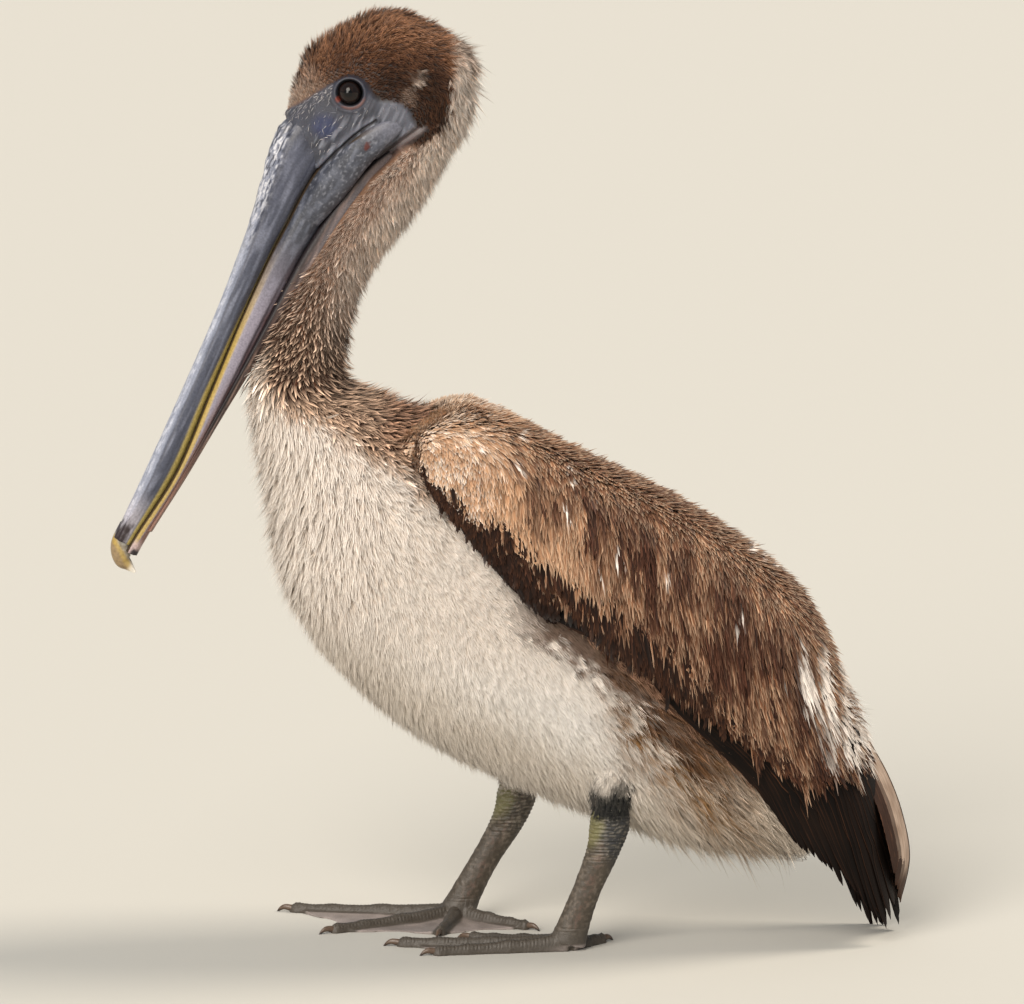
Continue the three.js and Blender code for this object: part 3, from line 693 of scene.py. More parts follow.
def upper_relief(s, a):
    """A groove each side of the ridge, a shallow one above the cutting edge, flakes at the root, and
    a smaller section where the bill comes out of the head."""
    flakes = lattice_noise(np.stack([s, 14 * a, 0 * s], -1), 4, 21) - 0.5
    return 0.5 * dent(a, 0.3, 0.35) - 1.3 * dent(a, 0.85, 0.13) - 0.6 * dent(a, 1.75, 0.12) \
        + 0.4 * dent(a, 1.3, 0.2) + 1.5 * flakes * ramp(s, 120, 30) * ramp(a, 1.6, 0.6) \
        + 0.25 * flakes - 9 * ramp(s, 14, -44)


def streaks(s, up, side, size=2.2, stretch=0.13, seed=23):
    return lattice_noise(np.stack([s * stretch, up, side * 0.7], -1), size, seed)


def upper_tone(p):
    """Pale ridge with dark flakes at the root and pale streaks that are partly the horn's own flecks and
    partly painted highlight, a dark groove, a slate side with pale streaks, a straw-coloured cutting edge
    towards the tip and a brown patch at the root of the nail."""
    s, up, side = bill_place(p)
    share = share_between(CULMEN, MOUTH, s, up)
    grain, fine = streaks(s, up, side), streaks(s, up, side, 1.1, 0.3, 27)
    wide = ramp(s, 90, 200)
    tone = paint(
        colour("#484c5b"), ("#787c8c", 0.8 * ramp(grain, 0.4, 0.8)),
        ("#2d3140", 0.8 * dent(share, -0.62 + 0.3 * ramp(s, 120, 200), 0.26) * ramp(s, 20, 80)),
        ("#8e93a3", ramp(share + 0.25 * (grain - 0.5), 0.35, 0.62)),
        # pale ridge streaks: partly the horn's own flecks, partly painted highlight
        ("#c3c6d0", 0.75 * ramp(share, 0.5, 0.95) * ramp(fine, 0.35, 0.7)),
        ("#494c5c", 0.5 * ramp(s, 100, 10)),
        ("#2f323f", ramp(s, 130, 20) * ramp(fine, 0.55, 0.7) * ramp(share, 0.0, 0.5)),
        ("#d9d9de", 0.8 * ramp(s, 110, 20) * ramp(fine, 0.42, 0.3) * ramp(share, 0.2, 0.7)),
        ("#3c3f4d", 0.85 * dent(share, 0.36, 0.07) * ramp(s, 8, 40)),
        ("#bfac64", ramp(share, -0.78 + 0.36 * wide, -0.95 + 0.3 * wide) * ramp(s, 10, 110)),
        ("#c2bcc4", 0.55 * ramp(s, 255, 285) * ramp(share, -0.6, -0.2)),
        ("#2a1f22", ramp(s + 12 * fine, 286, 298) * ramp(share + 0.5 * fine, -0.3, 0.3)))
    return tone + (face_skin(p) - tone) * ramp(s + 8 * (grain - 0.5) + 6 * share, 8, -8)[..., None]


def lower_tone(p):
    """Lavender-grey with pale mottling, a yellow upper edge that widens towards the tip, painted shade in a
    crease low on the side and on the top face where it lies under the upper half, pinkish brown below the
    crease, a red scab on the left branch and a dark tip."""
    s, up, side = bill_place(p)
    share = share_between(MOUTH, JAW_EDGE, s, up)
    grain, fine = streaks(s, up, side, 2.6, 0.3, 31), streaks(s, up, side, 1.2, 0.8, 33)
    wide, beyond_jaw = ramp(s, 150, 250), ramp(s, 60, 130)
    scab = np.hypot((s + 19) / 3.2, (up + 22) / 1.8) + 0.8 * (fine - 0.5)
    tone = paint(
        colour("#353842"), ("#585c69", 0.8 * ramp(grain, 0.3, 0.8)),
        ("#35343c", 0.6 * ramp(share, -0.2, -0.9) * ramp(s, 100, 30)),
        ("#9a9ca6", 0.4 * ramp(fine, 0.6, 0.85) * ramp(s, 90, -10)),
        ("#918a98", 0.8 * ramp(s, 50, 130)),
        ("#6e5252", ramp(share + 0.3 * (grain - 0.5), -0.45, -0.85) * beyond_jaw),
        # painted shade in the crease low on the side
        ("#3a2f36", 0.8 * dent(share, -0.55, 0.12) * beyond_jaw),
        ("#8b6658", 0.8 * wide * ramp(share, 0.1, -0.3)),
        ("#4a3530", 0.7 * wide * dent(share, -0.15, 0.12)),
        ("#a58d4e", ramp(share, 0.45 - 0.45 * wide, 0.65 - 0.5 * wide) * ramp(s, 60, 150)),
        ("#4a1c18", ramp(scab, 1.2, 0.7) * (side < 0)), ("#b39d9b", ramp(s, 290, 298)),
        # painted shade on the top face, where it lies under the upper half's edge
        ("#3b2f22", ramp(up - on_bill(MOUTH, s), -0.9, -0.3)),
        ("#241c20", ramp(s + 3 * fine, 299, 303) * ramp(share, 0.8, 0.2)))
    return tone + (colour("#63646f") * (0.8 + 0.4 * fine[..., None]) - tone) * ramp(s, -18, -38)[..., None]


bill_horn = toned_material("bill_horn", 0.42, 700.0, 0.0004)
upper = bill_bar(-44, 299, CULMEN, MOUTH, 1, 0.8, 330, 100, upper_relief)
place_piece("bill_upper_horn", toned(make_mesh("bill_upper_horn", *upper), upper_tone), bill_horn,
            "bill", "bill_upper")


def bill_knots(*rows):
    """Knots for oval_tube from rows of place along the bill, up and to the side, and two radii."""
    return [[*(BILL_ROOT + s * ALONG_BILL + up * UP_BILL + [0, side, 0]), high, wide]
            for s, up, side, high, wide in rows]


def jaw_branch(side):
    return capped_tube(oval_tube(bill_knots(
        (44, -9, side * 13.5, 8.5, 4), (16.5, -13.5, side * 18.5, 10.8, 5),
        (-7.6, -18.7, side * 23, 10.3, 5.5), (-24, -24.5, side * 25.7, 9, 4.8),
        (-36, -31, side * 26, 6.8, 3.2), (-46, -38, side * 24.5, 2.5, 1)), 80, 40, UP_BILL))


def lower_relief(s, a):
    return -0.7 * dent(a, 2.15, 0.15) * ramp(s, 60, 130) - 0.4 * dent(a, 0.9, 0.1) * ramp(s, 40, 90)


below_mouth = [up + 1.6 for up in MOUTH]
lower = bill_bar(4, 304, below_mouth, JAW_EDGE, 0.94, 0.7, 330, 90, lower_relief)
jaw = toned(welded([lower, jaw_branch(-1), jaw_branch(1)], 0.9, 4), lower_tone)
place_piece("bill_lower_horn", jaw, bill_horn, "bill", "bill_lower")

nail = capped_tube(oval_tube(bill_knots(
    (288, 6.5, 0, 6.9, 7.0), (302, 6, 0, 7, 6.5), (310.5, 1, 0, 6, 5), (313, -5, 0, 3.5, 3),
    (315, -11, 0, 0.8, 0.8)), 60, 36, UP_BILL))


def nail_tone(p):
    s, up, side = bill_place(p)
    fine = streaks(s, up, side, 1.5, 0.5, 41)
    outer = s + 0.7 * up + 2 * fine
    return paint(
        colour("#8b8273"), ("#aaa79f", ramp(fine, 0.3, 0.7)), ("#a5893f", 0.85 * ramp(outer, 306, 309)),
        ("#7d6a5a", 0.7 * ramp(outer, 310.5, 313)), ("#3a3038", ramp(s + 5 * fine, 302, 296)),
        ("#efe8dc", ramp(up, -4, -9)))


nail_horn = toned_material("nail_horn", 0.35, 500.0, 0.0002)
place_piece("bill_nail_horn", toned(make_mesh("bill_nail_horn", *nail), nail_tone), nail_horn,
            "nail", "bill_nail")


def pouch_relief(s, a):
    """Long soft folds: four ripples round the side that wander along the pouch."""
    wander = lattice_noise(np.stack([s * 0.25, 0 * s, 0 * s], -1), 9, 51)
    return 0.9 * np.cos(4.5 * a + 2.2 * wander) * ramp(s, 280, 200) + 0.5 * dent(a, 1.9, 0.15)


def pouch_tone(p):
    s, up, side = bill_place(p)
    share = share_between(JAW_EDGE, POUCH_EDGE, s, up)
    return paint(
        colour("#4b3f3e"), ("#7f6a62", ramp(streaks(s, up, side, 1.6, 0.12, 53), 0.4, 0.75)),
        ("#6c6a70", 0.6 * dent(share, 0.1, 0.35) * ramp(s, 110, 20)),
        ("#1d171b", ramp(share, 0.3, 0.8)),
        ("#a8796a", 0.6 * ramp(share, -0.4, -0.95) * ramp(s, 100, 200)),
        ("#8b6658", 0.85 * ramp(s, 190, 270)))


pouch_skin = toned_material("pouch_skin", 0.5, 900.0, 0.0004)
pouch = bill_bar(-34, 284, [up + 3 for up in JAW_EDGE], POUCH_EDGE, 0.84, 0.9, 260, 72, pouch_relief)
place_piece("pouch_skin_fold", toned(make_mesh("pouch_skin_fold", *pouch), pouch_tone), pouch_skin,
            "pouch", "pouch")

# ------------------------------------------------------------------ eyes
# Moist eyeballs with a dark brown iris round a black pupil, clear and highly polished in front. The
# cornea bulges a little, and each ball sits in its socket with the lids of the skin round it.
EYE_RADIUS = 8.5
SIDES = (("left", -1), ("right", 1))
eye_glass, tree, shader = new_material("moist_eye", Roughness=0.05, IOR=1.38)
tone = add_node(tree, "Attribute", attribute_name="tone")
tree.links.new(tone.outputs["Color"], shader.inputs["Base Color"])


def eyeball(side):
    """A ball in rings of r from the front to the back of the eye's axis, its cornea a low bulge."""
    r = np.linspace(0.02, math.pi - 0.02, 60)[:, None, None]
    a = (np.arange(60) * FULL_TURN / 60)[None, :, None] * side
    axis = unit(np.array([-0.16, side, 0.03]))
    up = unit(np.cross(axis, [1, 0, 0]))
    wide = np.cross(axis, up)
    size = EYE_RADIUS + 0.5 * np.exp(-(r / 0.55) ** 2)
    out = axis * np.cos(r) + (up * np.cos(a) + wide * np.sin(a)) * np.sin(r)
    return EYE * [1, -side, 1] + out * size, np.broadcast_to(r, (60, 60, 1))[..., 0]


for name, side in SIDES:
    rings, r = eyeball(side)
    points, faces = capped_tube(rings)
    r = np.append(r.ravel(), [0, math.pi])
    rays = lattice_noise(points * [1.6, 0.2, 1.6], 1.0, 61)
    tone = paint(colour("#0f0807"), ("#22140f", 0.8 * ramp(rays, 0.4, 0.8)),
                 ("#010102", ramp(r, 0.36, 0.3)), ("#070505", ramp(r, 0.92, 1.1)))
    mesh = toned(make_mesh(f"eyeball_{name}", points, faces), tone)
    place_piece(mesh.name, mesh, eye_glass, "eye", f"eye_{name}")

# ------------------------------------------------------------------ legs, feet and claws
# Tough scaly skin over bone: oval shanks with fine net-like scales, four toes joined by three webs,
# with narrow cross scutes along each toe, and a short curved claw at the end of each.
FEET = {
    "left": (-1, (66, -48), (38, -46), [(63, -22), (-30, -17), (-79, -35), (-54, -63)]),
    "right": (1, (3, 50), (-38, 49), [(12, 16), (-50, -4), (-125, 5), (-156, 74)])}
SHANK = [(0, 6, 12.5, 8), (0.18, 22, 10.5, 6.8), (0.5, 46, 9.6, 6.2), (0.84, 70, 11.2, 7.6),
         (1, 88, 13.6, 9.5), (1.03, 98, 12.5, 9)]   # share of the lean, height, radii fore and across
TOE_ROOT, TOE_TIP = (12.0, 6.4), (6.2, 3.6)         # height and half width
CLAW_LENGTH = 8.5
SOLE = 0.9          # how far a toe's flat underside is rounded down from its middle
SOLE_GAP = 0.05     # least height of any point over the floor


def toe(heel, tip):
    """An arch with a flat sole from the heel to the tip, lower and narrower outwards, with swellings
    at its joints; half sin and cos rings, closed along the floor."""
    run = np.array([tip[0] - heel[0], tip[1] - heel[1], 0.0])
    length = np.linalg.norm(run)
    ahead, across = run / length, np.array([-run[1], run[0], 0]) / length
    s, a = np.meshgrid(np.linspace(0, 1, 90), np.arange(36) * FULL_TURN / 36, indexing="ij")
    ease = 1 - (1 - s) ** 2
    joints = 1 + 0.13 * (dent(s, 0.45, 0.06) + dent(s, 0.74, 0.05) + dent(s, 0.95, 0.05))
    end = np.sqrt(np.clip(1 - np.clip((s - 0.95) / 0.05, 0, 1) ** 2, 0.12, 1))
    high = (TOE_ROOT[0] + (TOE_TIP[0] - TOE_ROOT[0]) * ease) * joints * end
    half = (TOE_ROOT[1] + (TOE_TIP[1] - TOE_ROOT[1]) * ease) * joints * end
    level = np.where(np.sin(a) > 0, high, SOLE) * np.sin(a) + SOLE
    p = np.array([*heel, 0.0]) + (s * length)[..., None] * ahead + (half * np.cos(a))[..., None] * across
    p[..., 2] = level
    return capped_tube(p)


def web(heel, tip_a, tip_b):
    """A thin sheet between two toes: its top follows straight lines between them, sags in the middle
    and ripples, and its free edge bows in; the sheet is closed below."""
    u, v = np.meshgrid(np.linspace(0.03, 1, 60), np.linspace(0, 1, 40), indexing="ij")
    bow = 1 - 0.32 * v * (1 - v) * 2
    a, b = np.array([*tip_a, 0.0]), np.array([*tip_b, 0.0])
    h = np.array([*heel, 0.0])
    far = a + (b - a) * v[..., None]
    top = h + (far - h) * (u * 0.95 * bow)[..., None]
    ripple = 0.35 * np.sin(v * 15 + 3 * u) * np.sin(u * 3)
    lift = (1 - 4 * v * (1 - v)) ** 2
    top[..., 2] = 2.2 + ripple + 2.5 * (1 - u) ** 2 + lift * (4.5 - 2.5 * u)
    under = top * [1, 1, 0] + [0, 0, 0.6]
    return capped_tube(np.concatenate([top, under[:, ::-1]], 1))


def beside(p, heel, tip):
    """In plan, how far points are along the line from the heel to a toe's tip and how far beside it."""
    ahead = unit(np.array(tip, float) - heel)
    x, y = p[:, 0] - heel[0], p[:, 1] - heel[1]
    return x * ahead[0] + y * ahead[1], np.abs(y * ahead[0] - x * ahead[1])


def leg_mesh(side, ankle, heel, tips):
    """The shank, toes and webs in one skin, with scales raised on it by formula."""
    lean = np.array(ankle, float) - heel
    knots = [[heel[0] + lean[0] * f, heel[1] + lean[1] * f, z, fore, wide] for f, z, fore, wide in SHANK]
    parts = [capped_tube(oval_tube(knots, 80, 48, (1, 0, 0)))]
    parts += [toe(heel, tip) for tip in tips]
    parts += [web(heel, *pair) for pair in zip(tips[:-1], tips[1:])]
    mesh = welded(parts, 1.1, 6)
    p, normal = mesh_points(mesh)
    z = p[:, 2]
    shank = ramp(z, 12, 20)
    folds = 0.35 * np.sin(z * 2.3 + 4 * lattice_noise(p, 7, 71)) \
        * (ramp(z, 58, 70) + ramp(z, 22, 12) * shank)
    net = 0.45 * (lattice_noise(p * [1, 1, 0.7], 1.9, 72) - 0.5)
    scutes = 0
    for s, off in (beside(p, heel, tip) for tip in tips):
        on_toe = ramp(off, 5.5, 3) * ramp(s, 4, 10) * ramp(z, 4, 5.5)
        scutes = np.maximum(scutes, on_toe * 0.35 * np.abs(np.sin(math.pi * s / 2.6)))
    p = p + normal * (folds + net * (0.4 + 0.6 * shank) + scutes * (1 - shank))[:, None]
    p[:, 2] = np.maximum(p[:, 2], SOLE_GAP)
    set_points(mesh, p)

    def leg_tone(p):
        """Grey-brown net, yellow at the ankle's back, a dark hairy patch down the front from the
        thigh, paler webs and light wrinkles near the ankle. shank is of the mesh's same points."""
        z = p[:, 2]
        webbed = np.prod([np.maximum(ramp(off, 5, 7), s < -4)
                          for s, off in (beside(p, heel, tip) for tip in tips)], 0)
        fore = (p[:, 0] - heel[0] - lean[0] * np.clip((z - 6) / 82, 0, 1)) / 11
        fine, broad = lattice_noise(p, 1.7, 73), lattice_noise(p, 9, 74)
        hairy = ramp(fore + 0.5 * (broad - 0.5), -0.55, 0.0) * ramp(z + 14 * fore, 66, 84)
        fold = np.abs(np.sin(z * 1.9 + 5 * lattice_noise(p, 6, 75)))
        return paint(
            colour("#40382e"), ("#6f655a", 0.6 * ramp(fine, 0.4, 0.9)),
            ("#66633f", 0.8 * ramp(z, 70, 84) * ramp(fore, 0.3, -0.3)),
            ("#4f362c", 0.6 * ramp(fine + 0.2 * broad, 0.6, 0.8) * dent(fore, 0, 0.35) * shank),
            ("#232426", (0.95 if side < 0 else 0.3) * hairy),
            ("#6b6742", 0.7 * dent(z, 80, 6) * ramp(fore, -0.35, -0.75)),
            ("#453f38", ramp(z, 22, 10) * (0.5 + 0.5 * fine)),
            ("#9b908c", ramp(z, 6.5, 4.5) * (0.45 + 0.55 * broad) * webbed),
            ("#a39a88", 0.3 * ramp(fold, 0.7, 1) * ramp(z, 60, 70) * ramp(fine, 0.35, 0.6)))
    return toned(mesh, leg_tone)


def claw(heel, tip):
    """A claw out of the toe's end that curves down to the floor."""
    run = unit(np.array([tip[0] - heel[0], tip[1] - heel[1], 0.0]))
    knots = [[*(np.array([*tip, 0.0]) + run * ahead + [0, 0, up]), r, r * 0.8] for ahead, up, r in [
        (-2.5, 3.6, 2.5), (0.3 * CLAW_LENGTH, 4.4, 2.0), (0.7 * CLAW_LENGTH, 3.2, 1.3),
        (CLAW_LENGTH, 0.8, 0.45)]]
    return oval_tube(knots, 16, 14)


leg_scale = toned_material("scaly_leg_skin", 0.5, 1100.0, 0.0004)
claw_horn = toned_material("claw_horn", 0.35, 900.0, 0.0001)
for name, (side, ankle, heel, tips) in FEET.items():
    place_piece(f"leg_{name}", leg_mesh(side, ankle, heel, tips), leg_scale, "leg",
                f"shank_{name}", f"foot_{name}")
    for i, tip in enumerate(tips):
        mesh = make_mesh(f"talon_{name}_{i + 1}", *capped_tube(claw(heel, tip)))
        toned(mesh, lambda p: paint(colour("#5b4a3d"), ("#241b17", ramp(p[:, 2], 4, 1.5))))
        place_piece(mesh.name, mesh, claw_horn, "claw", f"claw_{name}_{i + 1}")

# ------------------------------------------------------------------ plumage of head and neck
# Short hair-like feathers, stiff and bristly over the crown, ragged and pale down the nape. Each is a
# tuft of thin blades rooted in the skin, and they are spread evenly and follow the ribs down the neck.
GOLDEN = 1.32471795724475   # of the evenly spreading sequence in two dimensions
PATCH = 0.003               # side of a feather's patch on its map


def blade_tuft(blades, middles, spread, width, ragged):
    """A tuft's pattern: blades side by side that lean apart towards their tips, the outer ones
    shorter. Each narrows from its root over the middles to one tip point."""
    along, across, faces = [], [], []
    for b in range(blades):
        lean = 0 if blades == 1 else 2 * b / (blades - 1) - 1
        reach = 1 - ragged * abs(lean) ** 1.5 - 0.5 * ragged * (b % 2)
        first = len(along)
        for f in [0, *middles]:
            centre = lean * (0.3 + (spread - 0.3) * f)
            narrow = width * (1 - 0.45 * f)
            along += [f * reach] * 2
            across += [centre - narrow, centre + narrow]
        along.append(reach)
        across.append(lean * spread)
        rows = len(middles)
        for row in range(rows):
            k = first + 2 * row
            faces += [(k + 3, k + 1, k), (k + 2, k + 3, k)]
        k = first + 2 * rows
        faces.append((k + 2, k + 1, k))
    along, across = np.array(along), np.array(across)
    return {"along": along, "across": across, "rise": np.zeros_like(along), "faces": np.array(faces)}


def scatter(surface, t_range, a_range, density, cells=260):
    """Evenly spread places (t, a) with density(points, t) feathers per square millimetre: the
    density is summed over a grid, and a low-discrepancy sequence is read through the sums."""
    t = np.linspace(*t_range, cells + 1)
    a = np.linspace(*a_range, cells + 1)
    mid_t, mid_a = np.meshgrid((t[1:] + t[:-1]) / 2, (a[1:] + a[:-1]) / 2, indexing="ij")
    p, along, round_, _ = slopes(surface, mid_t, mid_a)
    area = np.linalg.norm(np.cross(along, round_), axis=-1) * (t[1] - t[0]) * (a[1] - a[0])
    weight = area * density(p, mid_t) + 1e-12
    count = int(weight.sum())
    k = np.arange(1, count + 1)
    first, second = (0.5 + k / GOLDEN) % 1, (0.5 + k / GOLDEN ** 2) % 1
    rows = np.concatenate([[0], np.cumsum(weight.sum(1))]) / weight.sum()
    row = np.clip(np.searchsorted(rows, first) - 1, 0, cells - 1)
    f = (first - rows[row]) / (rows[row + 1] - rows[row])
    inner = np.cumsum(weight, 1)
    inner = np.concatenate([np.zeros((cells, 1)), inner], 1) / inner[:, -1:]
    flat = (inner + np.arange(cells)[:, None]).ravel()
    column = np.clip(np.searchsorted(flat, row + second) - 1 - row * (cells + 1), 0, cells - 1)
    low, high = inner[row, column], inner[row, column + 1]
    g = (second - low) / np.maximum(high - low, 1e-12)
    return t[row] + f * (t[1] - t[0]), a[column] + g * (a[1] - a[0])


def lay(surface, t, a, flow, length, half, lift, pattern, rng, turn, bow, dome, tuft):
    """Feathers of one pattern on a surface: root (t, a), direction flow made tangent there, points
    at along * length and across * half width from the root as steps in (t, a), then raised along the
    normal from lift[0] at the root to lift[1] at the tip. Neighbours lean together in locks. Returns
    the points, the roots, and soft normals: the surface's own, rounded across each feather by dome."""
    p, along, round_, normal = slopes(surface, t, a)
    d = flow(p, along, normal)
    d = unit(d - normal * (d * normal).sum(-1, keepdims=True))
    c = np.cross(normal, d)
    clumps = lattice_noise(p, 13, 15) + 0.8 * lattice_noise(p, 4.5, 18) - 0.9
    angle = rng.normal(0, turn, (len(t), 1)) + 2.2 * turn * clumps[:, None]
    d, c = d * np.cos(angle) + c * np.sin(angle), c * np.cos(angle) - d * np.sin(angle)
    e, f, g = (along * along).sum(-1), (along * round_).sum(-1), (round_ * round_).sum(-1)

    def steps(v):
        on_t, on_a = (v * along).sum(-1), (v * round_).sum(-1)
        return (g * on_t - f * on_a) / (e * g - f * f), (e * on_a - f * on_t) / (e * g - f * f)

    s = pattern["along"] * length[:, None]
    w = pattern["across"] * half[:, None] * rng.normal(1, 0.12, (len(t), len(pattern["across"])))
    w = w + rng.normal(0, bow, (len(t), 1)) * pattern["along"] ** 2 * length[:, None]
    (dt, da), (ct, ca) = steps(d), steps(c)
    vt = t[:, None] + s * dt[:, None] + w * ct[:, None]
    va = a[:, None] + s * da[:, None] + w * ca[:, None]
    q, _, _, up = slopes(surface, vt, va)
    low, high = (np.broadcast_to(v, (len(t),))[:, None] for v in lift)
    locks = 1 + tuft * (lattice_noise(p, 8, 16)[:, None] - 0.5)
    climb = pattern["along"] ** 1.3 * rng.normal(1, 0.25, (len(t), 1))
    raised = low + (high * locks - low) * climb + pattern["rise"] * half[:, None]
    lean = pattern["across"] / np.abs(pattern["across"]).max()
    soft = unit(up + dome * lean[:, None] * c[:, None] + rng.normal(0, 0.4 * dome, (len(t), 1, 3)))
    return q + up * raised[..., None], p, soft


def feather_mesh(name, points, faces, shaft, rim, vane, edge, place):
    """One mesh of many feathers. Every point carries the colours of the shaft and of the rim, its
    place in the feather (along and across in millimetres, and a number of the feather's own), its
    distance from the shaft as a share of the half width, and its OFBake place."""
    return make_mesh(name, points.reshape(-1, 3), [faces], {
        "shaft": ("FLOAT_COLOR", shaft.reshape(-1, 3)), "rim": ("FLOAT_COLOR", rim.reshape(-1, 3)),
        "vane": ("FLOAT_VECTOR", vane.reshape(-1, 3)), "edge": ("FLOAT", edge.ravel()),
        "OFBake": ("UV", place.reshape(-1, 2))})


def coat_mesh(name, points, soft, pattern, centre, rim, length, half, roots, rng):
    """A feather's OFBake place is its root's on the skin's unwrap plus its own in a small patch."""
    n, k = points.shape[:2]
    faces = (np.arange(n)[:, None, None] * k + pattern["faces"]).reshape(-1, 3)
    along, across = pattern["along"], pattern["across"]
    vane = np.stack([along * length[:, None], across * half[:, None],
                     np.broadcast_to(rng.random((n, 1)) * 40, (n, k))], -1)
    patch = np.stack([along - 0.5, across / np.abs(across).max() / 2], -1) * PATCH
    mesh = feather_mesh(name, points, faces, centre, rim, vane, np.broadcast_to(np.abs(across), (n, k)),
                        roots[:, None] + patch)
    mesh.normals_split_custom_set_from_vertices(soft.reshape(-1, 3))
    return mesh


def feather_material(name, roughness, sheen, rim_from, light):
    """Keratin feathers: dry and matt, with a faint sheen on the soft ones. Barbs a fraction of a
    millimetre apart are drawn as streaks about 0.7 mm wide along the feather, as light or dark as
    light gives, and the vane's colour turns to its rim's past rim_from of its half width."""
    made, tree, shader = new_material(name, Roughness=roughness, Specular_IOR_Level=0.12,
                                      Sheen_Weight=sheen, Sheen_Roughness=0.5)
    vane = add_node(tree, "Attribute", attribute_name="vane")
    stretch = add_node(tree, "VectorMath", {0: vane.outputs["Vector"], 1: (0.09, 1.4, 1.0)},
                       operation="MULTIPLY")
    streak = add_node(tree, "TexNoise", {"Vector": stretch.outputs["Vector"], "Scale": 1.0, "Detail": 2.0})
    edge = add_node(tree, "Attribute", attribute_name="edge")
    wavy = add_node(tree, "Math", {0: streak.outputs["Fac"], 1: 0.9, 2: -0.45}, operation="MULTIPLY_ADD")
    border = add_node(tree, "Math", {0: edge.outputs["Fac"], 1: wavy.outputs[0]}, operation="ADD")
    share = add_node(tree, "MapRange", {"Value": border.outputs[0], "From Min": rim_from,
                                        "From Max": rim_from + 0.4}, interpolation_type="SMOOTHSTEP")
    shaft = add_node(tree, "Attribute", attribute_name="shaft")
    rim = add_node(tree, "Attribute", attribute_name="rim")
    mixed = add_node(tree, "Mix", {0: share.outputs["Result"], 6: shaft.outputs["Color"],
                                   7: rim.outputs["Color"]}, data_type="RGBA")
    bright = add_node(tree, "MapRange", {"Value": streak.outputs["Fac"], "From Min": 0.25,
                                         "From Max": 0.75, "To Min": light[0], "To Max": light[1]})
    shaded = add_node(tree, "VectorMath", {0: mixed.outputs[2], "Scale": bright.outputs["Result"]},
                      operation="SCALE")
    tree.links.new(shaded.outputs["Vector"], shader.inputs["Base Color"])
    return made


plume = feather_material("soft_feather_plumage", 0.75, 0.1, 0.35, (0.8, 1.17))


def root_to_tip(near, tip, along, start, end):
    """Colours along feathers: those near the skin turn to the tips' between two places."""
    return near + (tip - near) * ramp(along[None, :, None], start, end)


def body_tones(points, p, along, rng, start=0.15, scatter_by=0.12):
    """Shaft and rim colours of body feathers from the markings at their roots: the colour near the
    skin turns to the tip's colour along the feather, each feather a little lighter or darker."""
    near, tip = np.moveaxis(markings(p)[:, None], 2, 0)
    bright = np.exp(rng.normal(0, scatter_by, (len(p), 1, 1)))
    bright = bright * (1 + 2.5 * scatter_by * (lattice_noise(p, 3.2, 19)[:, None, None] - 0.5))
    centre = root_to_tip(near, tip, along, start, 1.0) * bright
    return centre, centre + (tip - centre) * 0.35


def bristly_tones(points, p, along, rng):
    """As body_tones, for short stiff feathers: only the very tips are pale."""
    return body_tones(points, p, along, rng, 0.5, 0.36)


def shaded_under_tones(points, p, along, rng):
    """As bristly_tones, with painted shade low on the neck, where paler feathers lie over these."""
    centre, rim = bristly_tones(points, p, along, rng)
    dark = 1 - 0.4 * (ramp(p[:, 2], 460, 410) * ramp(side_distance(COLLAR_LINE, p), -4, 10)
                      * ramp(p[:, 0], -180, -160))[:, None, None]
    return centre * dark, rim * dark


def coat_piece(name, slot, surface, t, a, flow, length, half, lift, pattern, tones, seed,
               unwrap, turn=0.14, bow=0.08, dome=0.35, tuft=0.9):
    """Lays one coat of feathers with roots at (t, a) on a surface, colours it and shows it."""
    rng = np.random.default_rng(seed)
    points, roots, soft = lay(surface, t, a, flow, length, half, lift, pattern, rng, turn, bow, dome, tuft)
    centre, rim = tones(points, roots, pattern["along"], rng)
    mesh = coat_mesh(name, points, soft, pattern, centre, rim, length, half, unwrap(t, a), rng)
    return place_piece(name, mesh, plume, slot)


def face_gap(p):
    """Distance in side view outside the bare face's border, below zero on the bare skin."""
    return np.where(inside(FACE, p), -1, 1) * np.abs(side_distance(FACE + FACE[:1], p, 1))


def body_unwrap(t, a):
    return np.stack([0.02 + 0.96 * t / (len(BODY_RIBS) - 1), 0.02 + 0.96 * (a % FULL_TURN) / FULL_TURN], -1)


def down_the_ribs(p, along, normal):
    return along


HEAD_TUFT = blade_tuft(3, [0.55], 1.15, 0.32, 0.25)
NAPE_TUFT = blade_tuft(3, [0.5], 1.0, 0.28, 0.35)


def head_density(p, t):
    return 0.4 * ramp(face_gap(p), 0.2, 1.2) * (t > 0.12)


t, a = scatter(body_surface, (0.1, 5.2), (0, FULL_TURN), head_density)
at = body_surface(t, a)
gap = face_gap(at)
on_nape = ramp(at[:, 0], -54, -36) * ramp(at[:, 2], 540, 585)
rng = np.random.default_rng(1)
long = rng.random(len(t)) ** 3
length = (3.0 + 3.2 * ramp(gap, 0, 22) + on_nape * (3.5 + 9 * long)) * rng.normal(1, 0.2, len(t))
half = 0.74 + 0.25 * on_nape
lift = (-HEAD_COAT, 0.6 + 2.2 * ramp(gap, 2, 20) + on_nape * (1.2 + 6.5 * long))
coat_piece("coat_head", "crown", body_surface, t, a, down_the_ribs, length, half, lift, HEAD_TUFT,
           bristly_tones, 2, body_unwrap, turn=0.36, dome=0.9, tuft=2.0)

# Bristles on the bare face: single pale hairs around the eye and before it, fewer towards the jaw.
BRISTLE = blade_tuft(1, [0.5], 1.0, 1.0, 0)


